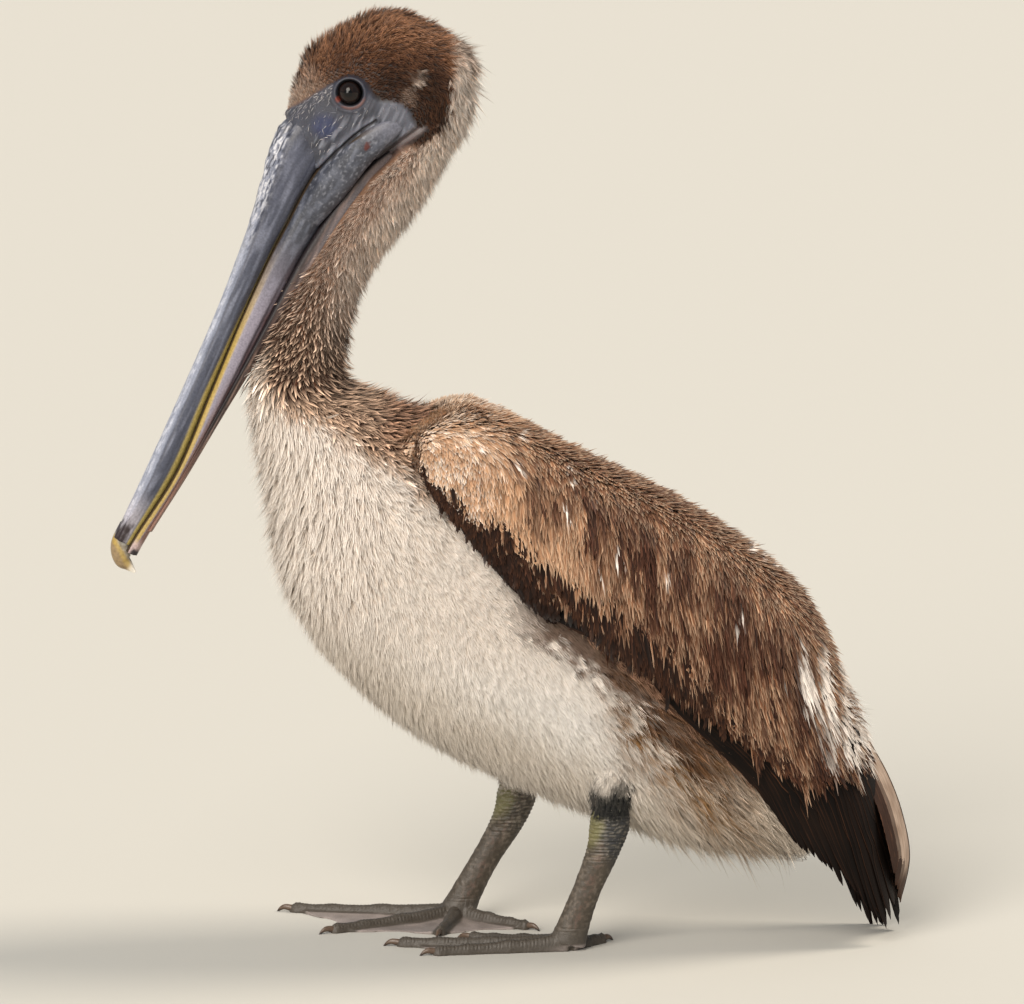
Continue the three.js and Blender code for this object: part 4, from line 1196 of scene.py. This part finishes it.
def bristle_density(p, t):
    x, z = p[..., 0], p[..., 2]
    r = np.hypot(x - EYE[0], z - EYE[2])
    near_coat = 0.05 + 0.3 * ramp(face_gap(p), -9, -2) * ramp(x, -98, -112)
    return near_coat * inside(FACE, p) * ramp(r, 11.4, 12.6) \
        * ramp(side_distance(MOUTH_LINE[::-1], p), 0, 8) * (z > 540)


def bristle_tones(points, p, along, rng):
    pale = paint(colour("#7d7d88"), ("#d8d2d0", rng.random((len(p), 1)) ** 2))
    return (np.broadcast_to(pale, points.shape),) * 2


def forwards(p, along, normal):
    return np.array([-0.5, 0.0, -0.85]) + 0 * p


t, a = scatter(body_surface, (0.05, 3.2), (0, FULL_TURN), bristle_density)
rng = np.random.default_rng(5)
length = 2.8 * rng.normal(1, 0.3, len(t))
coat_piece("coat_lores", "crown", body_surface, t, a, forwards, length, np.full(len(t), 0.13),
           (-0.6, 0.9), BRISTLE, bristle_tones, 6, body_unwrap, turn=0.5, dome=0.6)


def neck_density(p, t):
    return (0.36 - 0.2 * ramp(t, 7.0, 8.8)) * ramp(face_gap(p), 0.2, 2)


t, a = scatter(body_surface, (5.0, 9.3), (0, FULL_TURN), neck_density)
rng = np.random.default_rng(3)
low = ramp(t, 7.0, 9.2)
behind = ramp(np.cos(a), -0.2, 0.8)
length = (5.0 + 8 * low + 2.5 * behind) * rng.normal(1, 0.2, len(t))
half = 0.75 + 1.3 * low


def outwards_behind(p, along, normal):
    """Down the neck, and on its pale back also away from it."""
    return unit(along) + ramp(p[..., 2:3], 380, 470) * np.array([0.5, 0.0, 0.0])


coat_piece("coat_neck", "neck", body_surface, t, a, outwards_behind, length, half,
           (-NECK_COAT - 2 * low, 2.2 + 1.4 * low + 1.3 * behind), NAPE_TUFT, shaded_under_tones, 4,
           body_unwrap, turn=0.2, dome=0.7)

# Pointed pale-tipped feathers that stand out one by one over the darker ones, from the neck's lower
# half over the collar and shoulders.


def collar_density(p, t):
    reach = ramp(side_distance(COLLAR_LINE, p), -9, 5) * ramp(t, 6.4, 8.0)
    return (0.09 + 0.05 * ramp(t, 8.6, 7.4)) * reach * (side_distance(WING_EDGE, p) < 8)


POINTED_TUFT = blade_tuft(3, [0.4, 0.75], 0.1, 0.3, 0.15)


def collar_tones(points, p, along, rng):
    return body_tones(points, p, along, rng, 0.42, 0.3)


t, a = scatter(body_surface, (6.2, 10.9), (0, FULL_TURN), collar_density)
rng = np.random.default_rng(7)
low = ramp(t, 7.0, 9.2)
length = (7.5 + 6 * low) * rng.normal(1, 0.2, len(t))
coat_piece("coat_collar", "neck", body_surface, t, a, down_the_ribs, length, 1.3 + 1.0 * low,
           (-3.0, 2.6 + 2.2 * low), POINTED_TUFT, collar_tones, 8, body_unwrap, turn=0.25, dome=0.5)

# ------------------------------------------------------------------ plumage of breast, belly and flanks
# Loose, soft feathers that hang down the breast in pointed locks and lie smooth along the belly, with
# wisps on the flanks and long loose ones under the tail. Each is a fan of three or four blades.
LOCK_FAN = blade_tuft(4, [0.5], 1.0, 0.3, 0.3)
BELLY_FAN = blade_tuft(3, [0.5], 1.0, 0.36, 0.25)


def open_trunk(p):
    """1 where the trunk isn't under a wing or the mantle, 0 where it is."""
    return ramp(side_distance(WING_EDGE, p), 20, 12) \
        * (1 - ramp(p[..., 2], 330, 345) * ramp(p[..., 0], -46, -36))


def breast_density(p, t):
    return 0.24 * open_trunk(p)


def belly_density(p, t):
    return (0.34 - 0.05 * ramp(t, 12.7, 13)) * open_trunk(p)


def trunk_tones(points, p, along, rng):
    """As body_tones, even on the breast and belly and uneven beside the wing and under the tail."""
    vent = ramp(p[:, 0], 50, 80)[:, None, None]
    near_wing = (ramp(side_distance(WING_EDGE, p), -32, -14) * ramp(p[:, 0], -30, 10))[:, None, None]
    return body_tones(points, p, along, rng, 0.15 + 0.2 * vent, 0.05 + 0.1 * vent + 0.16 * near_wing)


def down_and_back(p, along, normal):
    return unit(along) + np.array([0.0, 0.0, -0.35])


for name, span, density, fan, seed in [
        ("coat_breast", (8.9, 11.3), breast_density, LOCK_FAN, 11),
        ("coat_belly", (11.2, 12.8), belly_density, BELLY_FAN, 12),
        ("coat_vent", (12.7, 15.0), belly_density, LOCK_FAN, 13)]:
    t, a = scatter(body_surface, span, (0, FULL_TURN), density)
    p = body_surface(t, a)
    rng = np.random.default_rng(seed + 20)
    belly = ramp(t, 10.4, 11.8)
    vent = ramp(p[:, 0], 60, 120)
    below = ramp(-np.cos(a), 0.1, 0.8) * vent * rng.random(len(t)) ** 1.6
    on_back = ramp(p[:, 2], 342, 354) * ramp(p[:, 0], -78, -64)
    length = (17 - 6 * belly + 9 * vent + 16 * below + 8 * on_back) * rng.normal(1, 0.2, len(t))
    half = (2.2 - 0.7 * belly) * rng.normal(1, 0.12, len(t))
    root = -TRUNK_COAT + 2 * ramp(t, 10, 9) + 4 * on_back
    lift = (root, 3.4 - 3.1 * belly + 3.4 * vent + 9 * below + 6 * on_back)
    coat_piece(name, "breast", body_surface, t, a, down_and_back, length, half, lift, fan,
               trunk_tones, seed, body_unwrap, turn=0.14 + 0.1 * vent.mean(),
               dome=0.22 if name == "coat_breast" else 0.1, tuft=0.9 if name == "coat_belly" else 1.8)

# Thighs: short feathers that end in a dark, hairy hem at the ankle.
THIGH_TONES = [("#6c6257", "#b3a999"), ("#17181a", "#45443f")]


def thigh_tones(points, p, along, rng):
    centre, rim = body_tones(points, p, along, rng)
    hem = ramp(p[:, 2] + 20 * lattice_noise(p, 5, 17), 142, 116)[:, None, None]
    behind = ramp(p[:, 0] - 66, -24, -12)[:, None, None] * (p[:, 1] < 0)[:, None, None]
    for pair, amount in zip(THIGH_TONES, (hem * 0.7, hem * behind)):
        tone = root_to_tip(*map(colour, pair), along, 0.3, 1)
        centre, rim = centre + (tone - centre) * amount, rim + (tone - rim) * amount
    return centre, rim


def thigh_unwrap(t, a):
    return np.stack([0.05 + 0.3 * t, 0.05 + 0.9 * (a % FULL_TURN) / FULL_TURN], -1)


for name, side in SIDES:
    t, a = scatter(thigh_surface(side), (0.3, 2.72), (0, FULL_TURN), lambda p, t: 0.4)
    rng = np.random.default_rng(25 + side)
    length = 8 * rng.normal(1, 0.25, len(t))
    coat_piece(f"coat_thigh_{name}", "breast", thigh_surface(side), t, a, down_the_ribs, length,
               np.full(len(t), 0.9), (-2.0, 1.4), BELLY_FAN, thigh_tones, 27 + side, thigh_unwrap,
               turn=0.2)

# ------------------------------------------------------------------ wing coverts and mantle
# Overlapping contour feathers, small and mottled over the bend of the wing, long, narrow and pointed
# towards the flight feathers, each with a dark shaft side and a tan, frayed rim.


def vane_pattern(rows, width, barbed):
    """A lance-shaped vane: rows of left edge, shaft and right edge that narrow to a point, a raised
    shaft, and barbs that stand out along each edge beside the barbed rows."""
    rows, width = np.array(rows), np.array(width)
    along = np.repeat(rows, 3)
    across = np.stack([-width, 0 * width, width], -1).ravel()
    rise = np.tile([0.0, 0.35, 0.0], len(rows))
    steps = [(r, c) for r in range(len(rows) - 1) for c in (0, 1)]
    faces = [(3 * r + c + 4, 3 * r + c + 1, 3 * r + c) for r, c in steps]
    faces += [(3 * r + c + 3, 3 * r + c + 4, 3 * r + c) for r, c in steps]
    last = 3 * len(rows)
    along, across, rise = np.append(along, 1.0), np.append(across, 0.0), np.append(rise, 0.2)
    faces += [(last, last - 2, last - 3), (last, last - 1, last - 2)]
    for row in barbed:
        for side, column in ((-1, 0), (1, 2)):
            along = np.append(along, rows[row + 1] + 0.07)
            across = np.append(across, side * (width[row + 1] + 0.3))
            rise = np.append(rise, 0.0)
            faces.append((3 * row + column, 3 * row + 3 + column, len(along) - 1)[::side])
    return {"along": along, "across": across, "rise": rise, "faces": np.array(faces)}


LONG_VANE = vane_pattern([0, 0.14, 0.34, 0.56, 0.75, 0.89], [0.35, 0.85, 1.0, 0.8, 0.52, 0.26], (2, 3, 4))
SHORT_VANE = vane_pattern([0, 0.35, 0.72], [0.5, 1.0, 0.62], (1,))
COVERT = {name: colour(code) for name, code in {
    "black": "#170c07", "dark": "#2e190f", "mid": "#59382a", "warm": "#7c5239", "tan": "#b48b6a",
    "sand": "#d9bfa4", "cream": "#f6ede4", "grey": "#7f6e64"}.items()}
# Places in side view where coverts have small white marks: x, z.
FLECKS = [(39, 330), (41, 324), (36, 306), (38, 300), (72, 278), (70, 271), (48, 348), (154, 234),
          (152, 222), (60, 262), (5, 335), (-20, 347), (8, 352), (104, 262), (165, 272), (173, 267),
          (181, 261)]
FLECK_SIZE = 1.9
WHITE_PATCH = [(194, 208), (206, 193), (218, 175), (231, 152)]
ODD_COVERT = (199, 180)   # root of one smooth grey-brown feather near the wing's end


def off_the_ridge(p, along, normal):
    """Backwards along the ridge, turned outwards beside it."""
    outwards = np.sign(p[..., 1]) * ramp(np.abs(p[..., 1]), 6, 32) * (0.9 - 0.4 * ramp(p[..., 0], 0, -40))
    return unit(along) + outwards[..., None] * np.array([0.0, 1.0, 0.0])


def wing_flow(p, along, normal):
    """In side view coverts hang nearly straight down, lean backwards over the ridge and rearwards, and
    run beside the lower front edge. Their step along y is what keeps them on the surface, at most
    four times as steep. On top, where the surface faces up, they run as off_the_ridge says."""
    x, z = p[..., 0], p[..., 2]
    level = np.abs(normal[..., 1])
    edge = ramp(side_distance(WING_EDGE, p), 16, 4) * ramp(z, 358, 342)
    ridge = ramp(level, 0.7, 0.3) * ramp(x, -40, 20)
    back = 0.14 + 0.3 * ridge + 0.12 * ramp(x, 120, 230) + 0.5 * edge
    out = np.where(normal[..., 1] < 0, -1, 1) * np.maximum(level, 0.25)
    hanging = np.stack([back, (normal[..., 2] - normal[..., 0] * back) / out, -np.ones_like(x)], -1)
    top = (ramp(level, 0.78, 0.5) * ramp(x, 30, -10))[..., None]
    return unit(hanging) * (1 - top) + off_the_ridge(p, along, normal) * top


def odd_covert(p):
    return np.hypot(p[:, 0] - ODD_COVERT[0], p[:, 2] - ODD_COVERT[1]) < 3


def paint_covert(ground, *coats):
    return paint(ground, *coats, palette=COVERT.get)


def vane_tones(shaft, edge, tip, along, shaft_turn, edge_turn, rng):
    """Shaft and rim colours along each vane, which turn to the tip's colour between two places; each
    feather is a little lighter or darker as a whole."""
    bright = np.exp(rng.normal(0, 0.14, (len(tip), 1, 1)))
    return [root_to_tip(root[:, None], tip[:, None], along, *turn) * bright
            for root, turn in ((shaft, shaft_turn), (edge, edge_turn))]


def covert_tones(points, p, along, rng):
    """Colours of the wing's pale feathers by place: cream and mottled at the bend, tan streaks below
    the middle, dark scales with pale rims along the ridge, and white marks."""
    x, y, z = np.moveaxis(p, -1, 0)
    chance, second = rng.random(len(p)), rng.random(len(p))
    bend = ramp(x - 0.1 * (z - 340) + 18 * (chance - 0.5), -2, -36)
    bend = bend * (0.1 + 0.9 * ramp(lattice_noise(p, 3.4, 12), 0.34, 0.56))
    streak = lattice_noise(np.stack([0.98 * x + 0.14 * z, 0.09 * z, 0.1 * y], -1), 3.3, 7)
    steep = x + 0.4 * (z - 300)
    forward = 0.6 * ramp(steep, 120, -20) + 0.7 * ramp(steep, 62, 8)
    tan_band = ramp(side_distance(TAN_EDGE, p), 60, 20) * ramp(x, 250, 120)
    light = ramp(0.6 * streak + 0.24 * lattice_noise(p, 22, 8) + 0.32 * forward + 0.06 * tan_band
                 + 0.2 * (chance - 0.5), 0.36, 0.84)
    ridge = ramp(np.abs(y), 62, 30)
    within = side_distance(WING_EDGE, p)
    first = 0.8 * ramp(within, 12, 2) * ramp(z, 335, 350) * (0.5 + 0.5 * chance)
    front = ramp(within, 24, 8) * ramp(z, 335, 315) * ramp(x, 60, 20)
    patch = ramp(np.abs(side_distance(WHITE_PATCH, p)) + 36 * (streak - 0.48), 15, 5)
    shaft = paint_covert(
        COVERT["dark"], ("warm", light), ("tan", 0.6 * light * forward), ("warm", 0.5 * ridge),
        ("sand", 0.65 * bend * (0.2 + 0.8 * (second > 0.45))), ("sand", first), ("dark", 0.9 * front),
        ("cream", 0.7 * patch))
    edge = paint_covert(COVERT["mid"], ("tan", light))
    tip = paint_covert(
        edge, ("sand", 0.7 * light), ("sand", 0.8 * ridge * (second < 0.75)),
        ("cream", bend * (0.4 + 0.6 * (second > 0.3))), ("tan", 0.5 * front * (second > 0.4)),
        ("cream", 0.9 * patch))
    edge = paint_covert(
        edge, ("tan", 0.7 * ridge), ("cream", 0.55 * bend * (0.3 + 0.7 * (second > 0.35))),
        ("cream", 0.6 * first), ("dark", 0.7 * front), ("cream", 0.85 * patch))
    tones = vane_tones(shaft, edge, tip, along, (0.72, 1.05), (0.5, 1.0), rng)
    spots = np.array(FLECKS, float)
    gap = np.hypot(points[..., None, 0] - spots[:, 0], 0.5 * (points[..., None, 2] - spots[:, 1])).min(-1)
    white = ramp(gap, FLECK_SIZE, FLECK_SIZE * 0.5) * (chance > 0.35)[:, None]
    return [paint_covert(tone, ("cream", white)) for tone in tones]


def thin_streak(p):
    """Whether a long dark covert's place holds a thin tan one instead: only well inside the wing."""
    return (lattice_noise(p, 0.9, 44) > 0.66) & (side_distance(WING_EDGE, p) > 22)


def dark_covert_tones(points, p, along, rng):
    """The long coverts over the flight feathers: black-brown with rust-brown rims, thin tan streaks
    between them, more of them rearwards, and one smooth grey feather."""
    second = rng.random(len(p))
    back = ramp(p[:, 0], 110, 190)
    high = ramp(side_distance(TAN_EDGE, p) + 10 * (second - 0.5), -8, 4)
    thin, odd = 0.75 * thin_streak(p), 0.9 * odd_covert(p)
    patch = ramp(np.abs(side_distance(WHITE_PATCH, p)), 10, 4) * (second > 0.3)
    shaft = paint_covert(COVERT["black"], ("dark", 0.5 * second + 0.4 * back))
    edge = paint_covert(shaft, ("mid", 0.02 + 0.25 * second * (0.4 + 0.6 * back) + 0.3 * high))
    tip = paint_covert(edge, ("warm", 0.05 + 0.4 * back + 0.3 * high), ("sand", thin), ("grey", odd),
                       ("cream", 0.8 * patch))
    edge = paint_covert(edge, ("tan", thin), ("grey", odd), ("sand", 0.8 * patch))
    shaft = paint_covert(shaft, ("warm", thin), ("grey", odd))
    return vane_tones(shaft, edge, tip, along, (0.8, 1.1), (0.6, 1.0), rng)


def wing_unwrap(t, a):
    return np.stack([0.02 + 0.96 * t / (len(SHELL_RIBS) - 1), 0.02 + 0.48 * np.abs(a) / math.pi], -1)


def on_wing(p):
    return (np.abs(p[..., 1]) > MANTLE_HALF - 14 * ramp(p[..., 0], 5, -25)) * 1.0


def above_last(p):
    """How far points are above the ends of the long dark coverts, at least a little in front."""
    return np.maximum(side_distance(COVERT_EDGE, p), 12 * ramp(p[..., 0], 45, 12))


def pale_density(p, t):
    above = np.maximum(side_distance(TAN_EDGE, p), side_distance(COVERT_EDGE, p) - 46)
    front = side_distance(WING_EDGE, p) + 9 * ramp(p[..., 2], 340, 352)
    return (0.135 + 0.12 * ramp(p[..., 0], 10, -45)) * on_wing(p) * ramp(front, -0.5, 1) * ramp(above, 2, 6)


def dark_density(p, t):
    return (0.08 + 0.06 * ramp(p[..., 0], 40, 10)) * on_wing(p) * ramp(side_distance(WING_EDGE, p), 0.5, 3) \
        * ramp(above_last(p), 5, 10) * ramp(side_distance(TAN_EDGE, p), 26, 12) * ramp(p[..., 2], 344, 334)


def dark_size(p, jag, rng):
    """Length, half width and lift of the long dark coverts, which end along COVERT_EDGE."""
    length = np.minimum(48.0, 4 + 1.05 * above_last(p) + 0.4 * jag + rng.random(len(p)) * 7)
    half = np.where(thin_streak(p), 0.7, 2.0) * np.where(odd_covert(p), 2.2, 1)
    return length, half, (-WING_COAT * 0.55, 0.7)


def pale_size(p, jag, rng):
    """The same of the pale ones: short at the bend and on the ridge, and their last rows end in long
    pointed locks along TAN_EDGE."""
    over_tan = side_distance(TAN_EDGE, p)
    bend = ramp(p[:, 0] + 0.35 * (p[:, 2] - 340), 15, -35)
    top = ramp(np.abs(p[:, 1]), 62, 30)
    last = ramp(over_tan, 34, 12)
    lock = ramp(lattice_noise(p * [1, 1, 0.4], 6, 46), 0.6, 0.75)
    length = np.minimum(32 - 23 * bend - 17 * top, 1.1 * np.maximum(over_tan, 2) + 0.6 * jag)
    length += (12 * rng.random(len(p)) ** 5 + 18 * lock) * last * ramp(p[:, 0], 5, 50)
    return length, 1.3 + 0.5 * top - 0.1 * bend - 0.4 * lock * last, \
        (-WING_COAT * 0.6 + 1.8 * bend, 0.8 + 0.1 * bend)


for name, side in SIDES:
    span = (-2.6, -0.12) if side < 0 else (0.12, 2.6)
    for kind, density, size, vane, tones, seed in (
            ("dark", dark_density, dark_size, LONG_VANE, dark_covert_tones, 31),
            ("pale", pale_density, pale_size, SHORT_VANE, covert_tones, 33)):
        t, a = scatter(wing_surface, (0.15, 6.6), span, density)
        p = wing_surface(t, a)
        rng = np.random.default_rng(seed + side)
        jag = 24 * (lattice_noise(p * [1, 1, 0.3], 5, 45) - 0.5)
        length, half, lift = size(p, jag, rng)
        half = half * rng.normal(1, 0.15, len(t))
        length = np.maximum(length, 5) * rng.normal(1, 0.12, len(t)) \
            * (0.45 + 0.55 * ramp(side_distance(WING_EDGE, p), 0, 20))
        coat_piece(f"coat_wing_{name}_{kind}", "covert", wing_surface, t, a, wing_flow, length, half, lift,
                   vane, tones, seed + 10 + side, wing_unwrap, turn=0.06, bow=0.04, dome=0.5)


def mantle_density(p, t):
    x, y, z = np.moveaxis(p, -1, 0)
    return 0.17 * (np.abs(y) < MANTLE_HALF + 6 + 14 * ramp(x, 5, -25)) * (x > -75) * (z > 135)


t, a = scatter(wing_surface, (0.42, 6.3), (-0.9, 0.9), mantle_density)
p = wing_surface(t, a)
rng = np.random.default_rng(51)
front = ramp(p[:, 0], 0, -40)
length = (12 + 8 * ramp(t, 2, 6) - 3 * front) * rng.normal(1, 0.15, len(t))
half = 1.8 * rng.normal(1, 0.1, len(t))
coat_piece("coat_mantle", "covert", wing_surface, t, a, off_the_ridge, length, half,
           (-WING_COAT, -0.2 + 0.3 * front), SHORT_VANE, covert_tones, 52, wing_unwrap, turn=0.12,
           dome=0.5)

# Rump: white down that stands out behind the wings, over the root of the tail.
RUMP_TONES = (colour("#efe6dc"), colour("#fffdfa"))


def rump_tones(points, p, along, rng):
    return (np.broadcast_to(root_to_tip(*RUMP_TONES, along, 0.1, 0.9), points.shape),) * 2


t, a = scatter(shell_surface, (4.92, 5.25), (-0.5, 0.5), lambda p, t: 0.16)
rng = np.random.default_rng(61)
length = 17 * rng.normal(1, 0.3, len(t))
coat_piece("coat_rump", "breast", shell_surface, t, a, down_the_ribs, length, np.full(len(t), 1.7),
           (-9.0, 5.5), LOCK_FAN, rump_tones, 62, wing_unwrap, turn=0.3)

# ------------------------------------------------------------------ flight feathers
# Long stiff feathers of the folded wing: thirty lie side by side below the coverts and run parallel
# to the wing's lower edge, each hiding the upper side of the next lower one, and their tips step
# down towards the floor behind the bird.
stiff = feather_material("stiff_flight_feather", 0.6, 0.0, 0.8, (0.7, 1.35))
FLIGHT_COUNT = 30
# Side-view places (x, z) along the lowest and the topmost feather, and the line of all their tips.
LOWEST = [(-46, 317), (-3, 268), (22, 246), (80, 214), (117, 173), (158, 131), (184, 97)]
TOPMOST = [(120, 268), (150, 245), (178, 218), (205, 184), (230, 148), (250, 105), (268, 30)]
TIP_LINE = [(184, 92), (194, 74), (211, 60), (228, 47), (240, 30), (252, 17), (260, 24), (268, 32)]
TIP_GROUPS = 11         # bundles that the whole tip line has room for; only upper tips are bundled
RIGHT_TIP_DROP = 24.0   # how much lower the right wing's tip lies than the left one's
VANE_HALF = 5.6         # half width of a vane
FLOOR_GAP = 0.4         # least height of a feather over the floor


def rib_place(ribs, x, z, per_rib=8):
    """Where (x, z) is in side view: t, counted in ribs, and its share from front (-1) to back (1)."""
    t = np.linspace(0, len(ribs) - 1, (len(ribs) - 1) * per_rib + 1)
    r = spline(ribs, t)
    ahead = np.gradient((r[:, :2] + r[:, 2:4]) / 2, axis=0)
    square = np.stack([-(r[:, 3] - r[:, 1]), r[:, 2] - r[:, 0]], -1)
    square *= np.sign((square * ahead).sum(-1))[:, None]
    side = (x[..., None] - r[:, 0]) * square[:, 0] + (z[..., None] - r[:, 1]) * square[:, 1]
    i = np.clip((side > 0).sum(-1) - 1, 0, len(t) - 2)
    low = np.take_along_axis(side, i[..., None], -1)[..., 0]
    high = np.take_along_axis(side, i[..., None] + 1, -1)[..., 0]
    w = np.clip(low / np.where(low == high, 1, low - high), 0, 1)
    place = t[i] + w * (t[1] - t[0])
    fx, fz, bx, bz, _ = np.moveaxis(spline(ribs, place), -1, 0)
    share = ((x - fx) * (bx - fx) + (z - fz) * (bz - fz)) / ((bx - fx) ** 2 + (bz - fz) ** 2)
    return place, 2 * share - 1


def drape(x, z, side, sunk):
    """The folded wing's shell over (x, z) in side view, sunk below it: y is the rib's half width
    times (1 - |share| ** (2 / squareness)) ** (squareness / 2)."""
    t, share = rib_place(SHELL_RIBS, x, z)
    open_ = np.clip(1 - np.abs(share) ** (2 / SHELL_SQUARENESS), 0.02, 1) ** (SHELL_SQUARENESS / 2)
    y = spline(SHELL_RIBS[:, 4], t) * open_ - sunk
    return np.stack([x, side * y, z], -1)


def vane_outline(s, tip_from=0.8):
    """Half width of a flight feather along it: opens quickly, stays even, and rounds to a point."""
    past = np.clip((s - tip_from) / (1 - tip_from), 0, 1)
    return ramp(s, -0.05, 0.12) * (1 - past ** 1.8) ** 0.7


def stiff_mesh(name, points, shaft, rim, vane_size, flip):
    """One mesh of long feathers, each a grid of points (feather, row from the root, column across).
    vane_size is a vane's length and half width and what its own number goes up by. Each feather has a
    strip of its own on the map, beside the last one's."""
    n, rows, columns = points.shape[:3]
    i, s, w = np.ogrid[0:n, 0:1:rows * 1j, -1:1:columns * 1j]
    faces = (i * rows * columns + grid_faces(rows, columns, False)).reshape(-1, 4)
    vane = np.stack(np.broadcast_arrays(*(v * size for v, size in zip((s, w, i), vane_size))), -1)
    strip = np.stack(np.broadcast_arrays((i + 0.5 + 0.4 * w) / n, 0.02 + 0.96 * s), -1)
    return feather_mesh(name, points, faces[:, ::-1] if flip else faces, shaft, rim, vane,
                        np.broadcast_to(np.abs(w), points.shape[:3]), strip)


def flight_feathers(name, side, rng):
    """The fan of one wing: centre lines blended from LOWEST to TOPMOST, each ending on TIP_LINE."""
    s, w = np.ogrid[0:1:60j, -1:1:9j]
    points = []
    low, high = np.array(LOWEST, float), np.array(TOPMOST, float)
    for i in range(FLIGHT_COUNT):
        f = i / (FLIGHT_COUNT - 1)
        line = low + (high - low) * f
        group = (np.floor(f * TIP_GROUPS) + 0.5) / TIP_GROUPS
        ended = f + (group - f) * 0.8 * ramp(f, 0.4, 0.6)
        line[-1] = spline(TIP_LINE, ended * (len(TIP_LINE) - 1))
        line[-1] += rng.normal(0, 1, 2) * (0.6 + np.array([1.0, 5.0]) * ramp(f, 0.35, 0.7))
        centre = spline(line, s[:, 0] * (len(line) - 1))
        centre[:, 1] -= (side > 0) * RIGHT_TIP_DROP * f * ramp(s[:, 0], 0.55, 1)
        ahead = unit(np.gradient(centre, axis=0))
        square = np.stack([-ahead[:, 1], ahead[:, 0]], -1)
        fray = 1 + 0.05 * rng.normal(0, 1, s.shape) * (np.abs(w) > 0.9)
        notches = rng.random(2) * 0.5 + 0.4
        split = 1 - sum(0.45 * dent(s, notch, 0.008) for notch in notches) * (np.abs(w) > 0.7)
        half = VANE_HALF * vane_outline(s, 0.8 - 0.08 * f) * fray * split
        flat = centre[:, None] + square[:, None] * (w * half)[..., None]
        layer = 1.6 + 5.0 * (1 - f) + 0.715 * (w + 1) - 0.4 * (1 - w * w) + 8 * ramp(s, 0.4, 0)
        p = drape(flat[..., 0], flat[..., 1], side, layer)
        p[..., 2] = np.maximum(p[..., 2], FLOOR_GAP)
        points.append(p)
    points = np.array(points)
    bright = np.exp(rng.normal(0, 0.18, (FLIGHT_COUNT, 1, 1, 1)))
    shaft = paint(colour("#070403"), ("#1c110b", 0.5 * lattice_noise(points, 12, 81))) * bright
    rim = paint(shaft, ("#5e3b25", 0.06 + 0.5 * rng.random((FLIGHT_COUNT, 1, 1))))
    return stiff_mesh(name, points, shaft, rim, (170, VANE_HALF, 7.7), side < 0)


for name, side in SIDES:
    mesh = flight_feathers(f"flight_feathers_{name}", side, np.random.default_rng(80 + side))
    place_piece(mesh.name, mesh, stiff, "flight", f"wing_{name}_secondaries", f"wing_{name}_primaries")

# ------------------------------------------------------------------ tail
# Fourteen broad tail feathers in a roof-shaped fan: its ridge runs down the middle, the middle ones lie on
# top and the sides fall forwards. Their webs are pale pinkish cream, the side feathers are darkened with
# painted shade where they lie under the wing tips, and their ends are brown.
TAIL_RIDGE = [(243, 140), (258, 113), (268, 86), (273, 56), (267, 24)]
TAIL_HALF = [23, 29, 34, 36, 32]
TAIL_SAG = 12.0
TAIL_COUNT = 14


def tail_mesh(rng):
    """Each feather is a grid over the fan: s from its root to its tip, w across its own width."""
    s, w = np.ogrid[0:1:60j, -1:1:11j]
    points = []
    spread = np.linspace(-1, 1, TAIL_COUNT)
    for i, c in enumerate(spread):
        reach = 1 - 0.2 * c * c - 0.03 * rng.random()
        along = s * reach * 4
        fray = 1 + 0.03 * rng.normal(0, 1, s.shape) * (np.abs(w) > 0.9)
        share = c * 0.86 + w * 0.16 * vane_outline(s, 0.75) * fray
        x, z = np.moveaxis(spline(TAIL_RIDGE, along), -1, 0)
        half = spline(TAIL_HALF, along)
        under = 0.45 * abs(i - (TAIL_COUNT - 1) / 2) + 0.5 * np.sign(c) * w
        p = np.stack([x - TAIL_SAG * share ** 2 - under - 0.3, half * share, z + 0 * w], -1)
        p[..., 2] = np.maximum(p[..., 2], FLOOR_GAP)
        points.append(p)
    points = np.array(points)
    shaft = paint(
        colour("#8d7868"), ("#b5a191", lattice_noise(points, 9, 91)),
        # painted shade on the side feathers, which lie under the wing tips
        ("#33221a", ramp(np.abs(spread), 0.5, 0.8)[:, None, None]),
        ("#3a271d", ramp(points[..., 2] + 8 * lattice_noise(points, 5, 92), 62, 42)))
    rim = paint(shaft, ("#7a5139", 0.4))
    return stiff_mesh("tail_feathers", points, shaft, rim, (120, 5, 5.3), False)


place_piece("tail_feathers", tail_mesh(np.random.default_rng(90)), stiff, "tail", "tail")
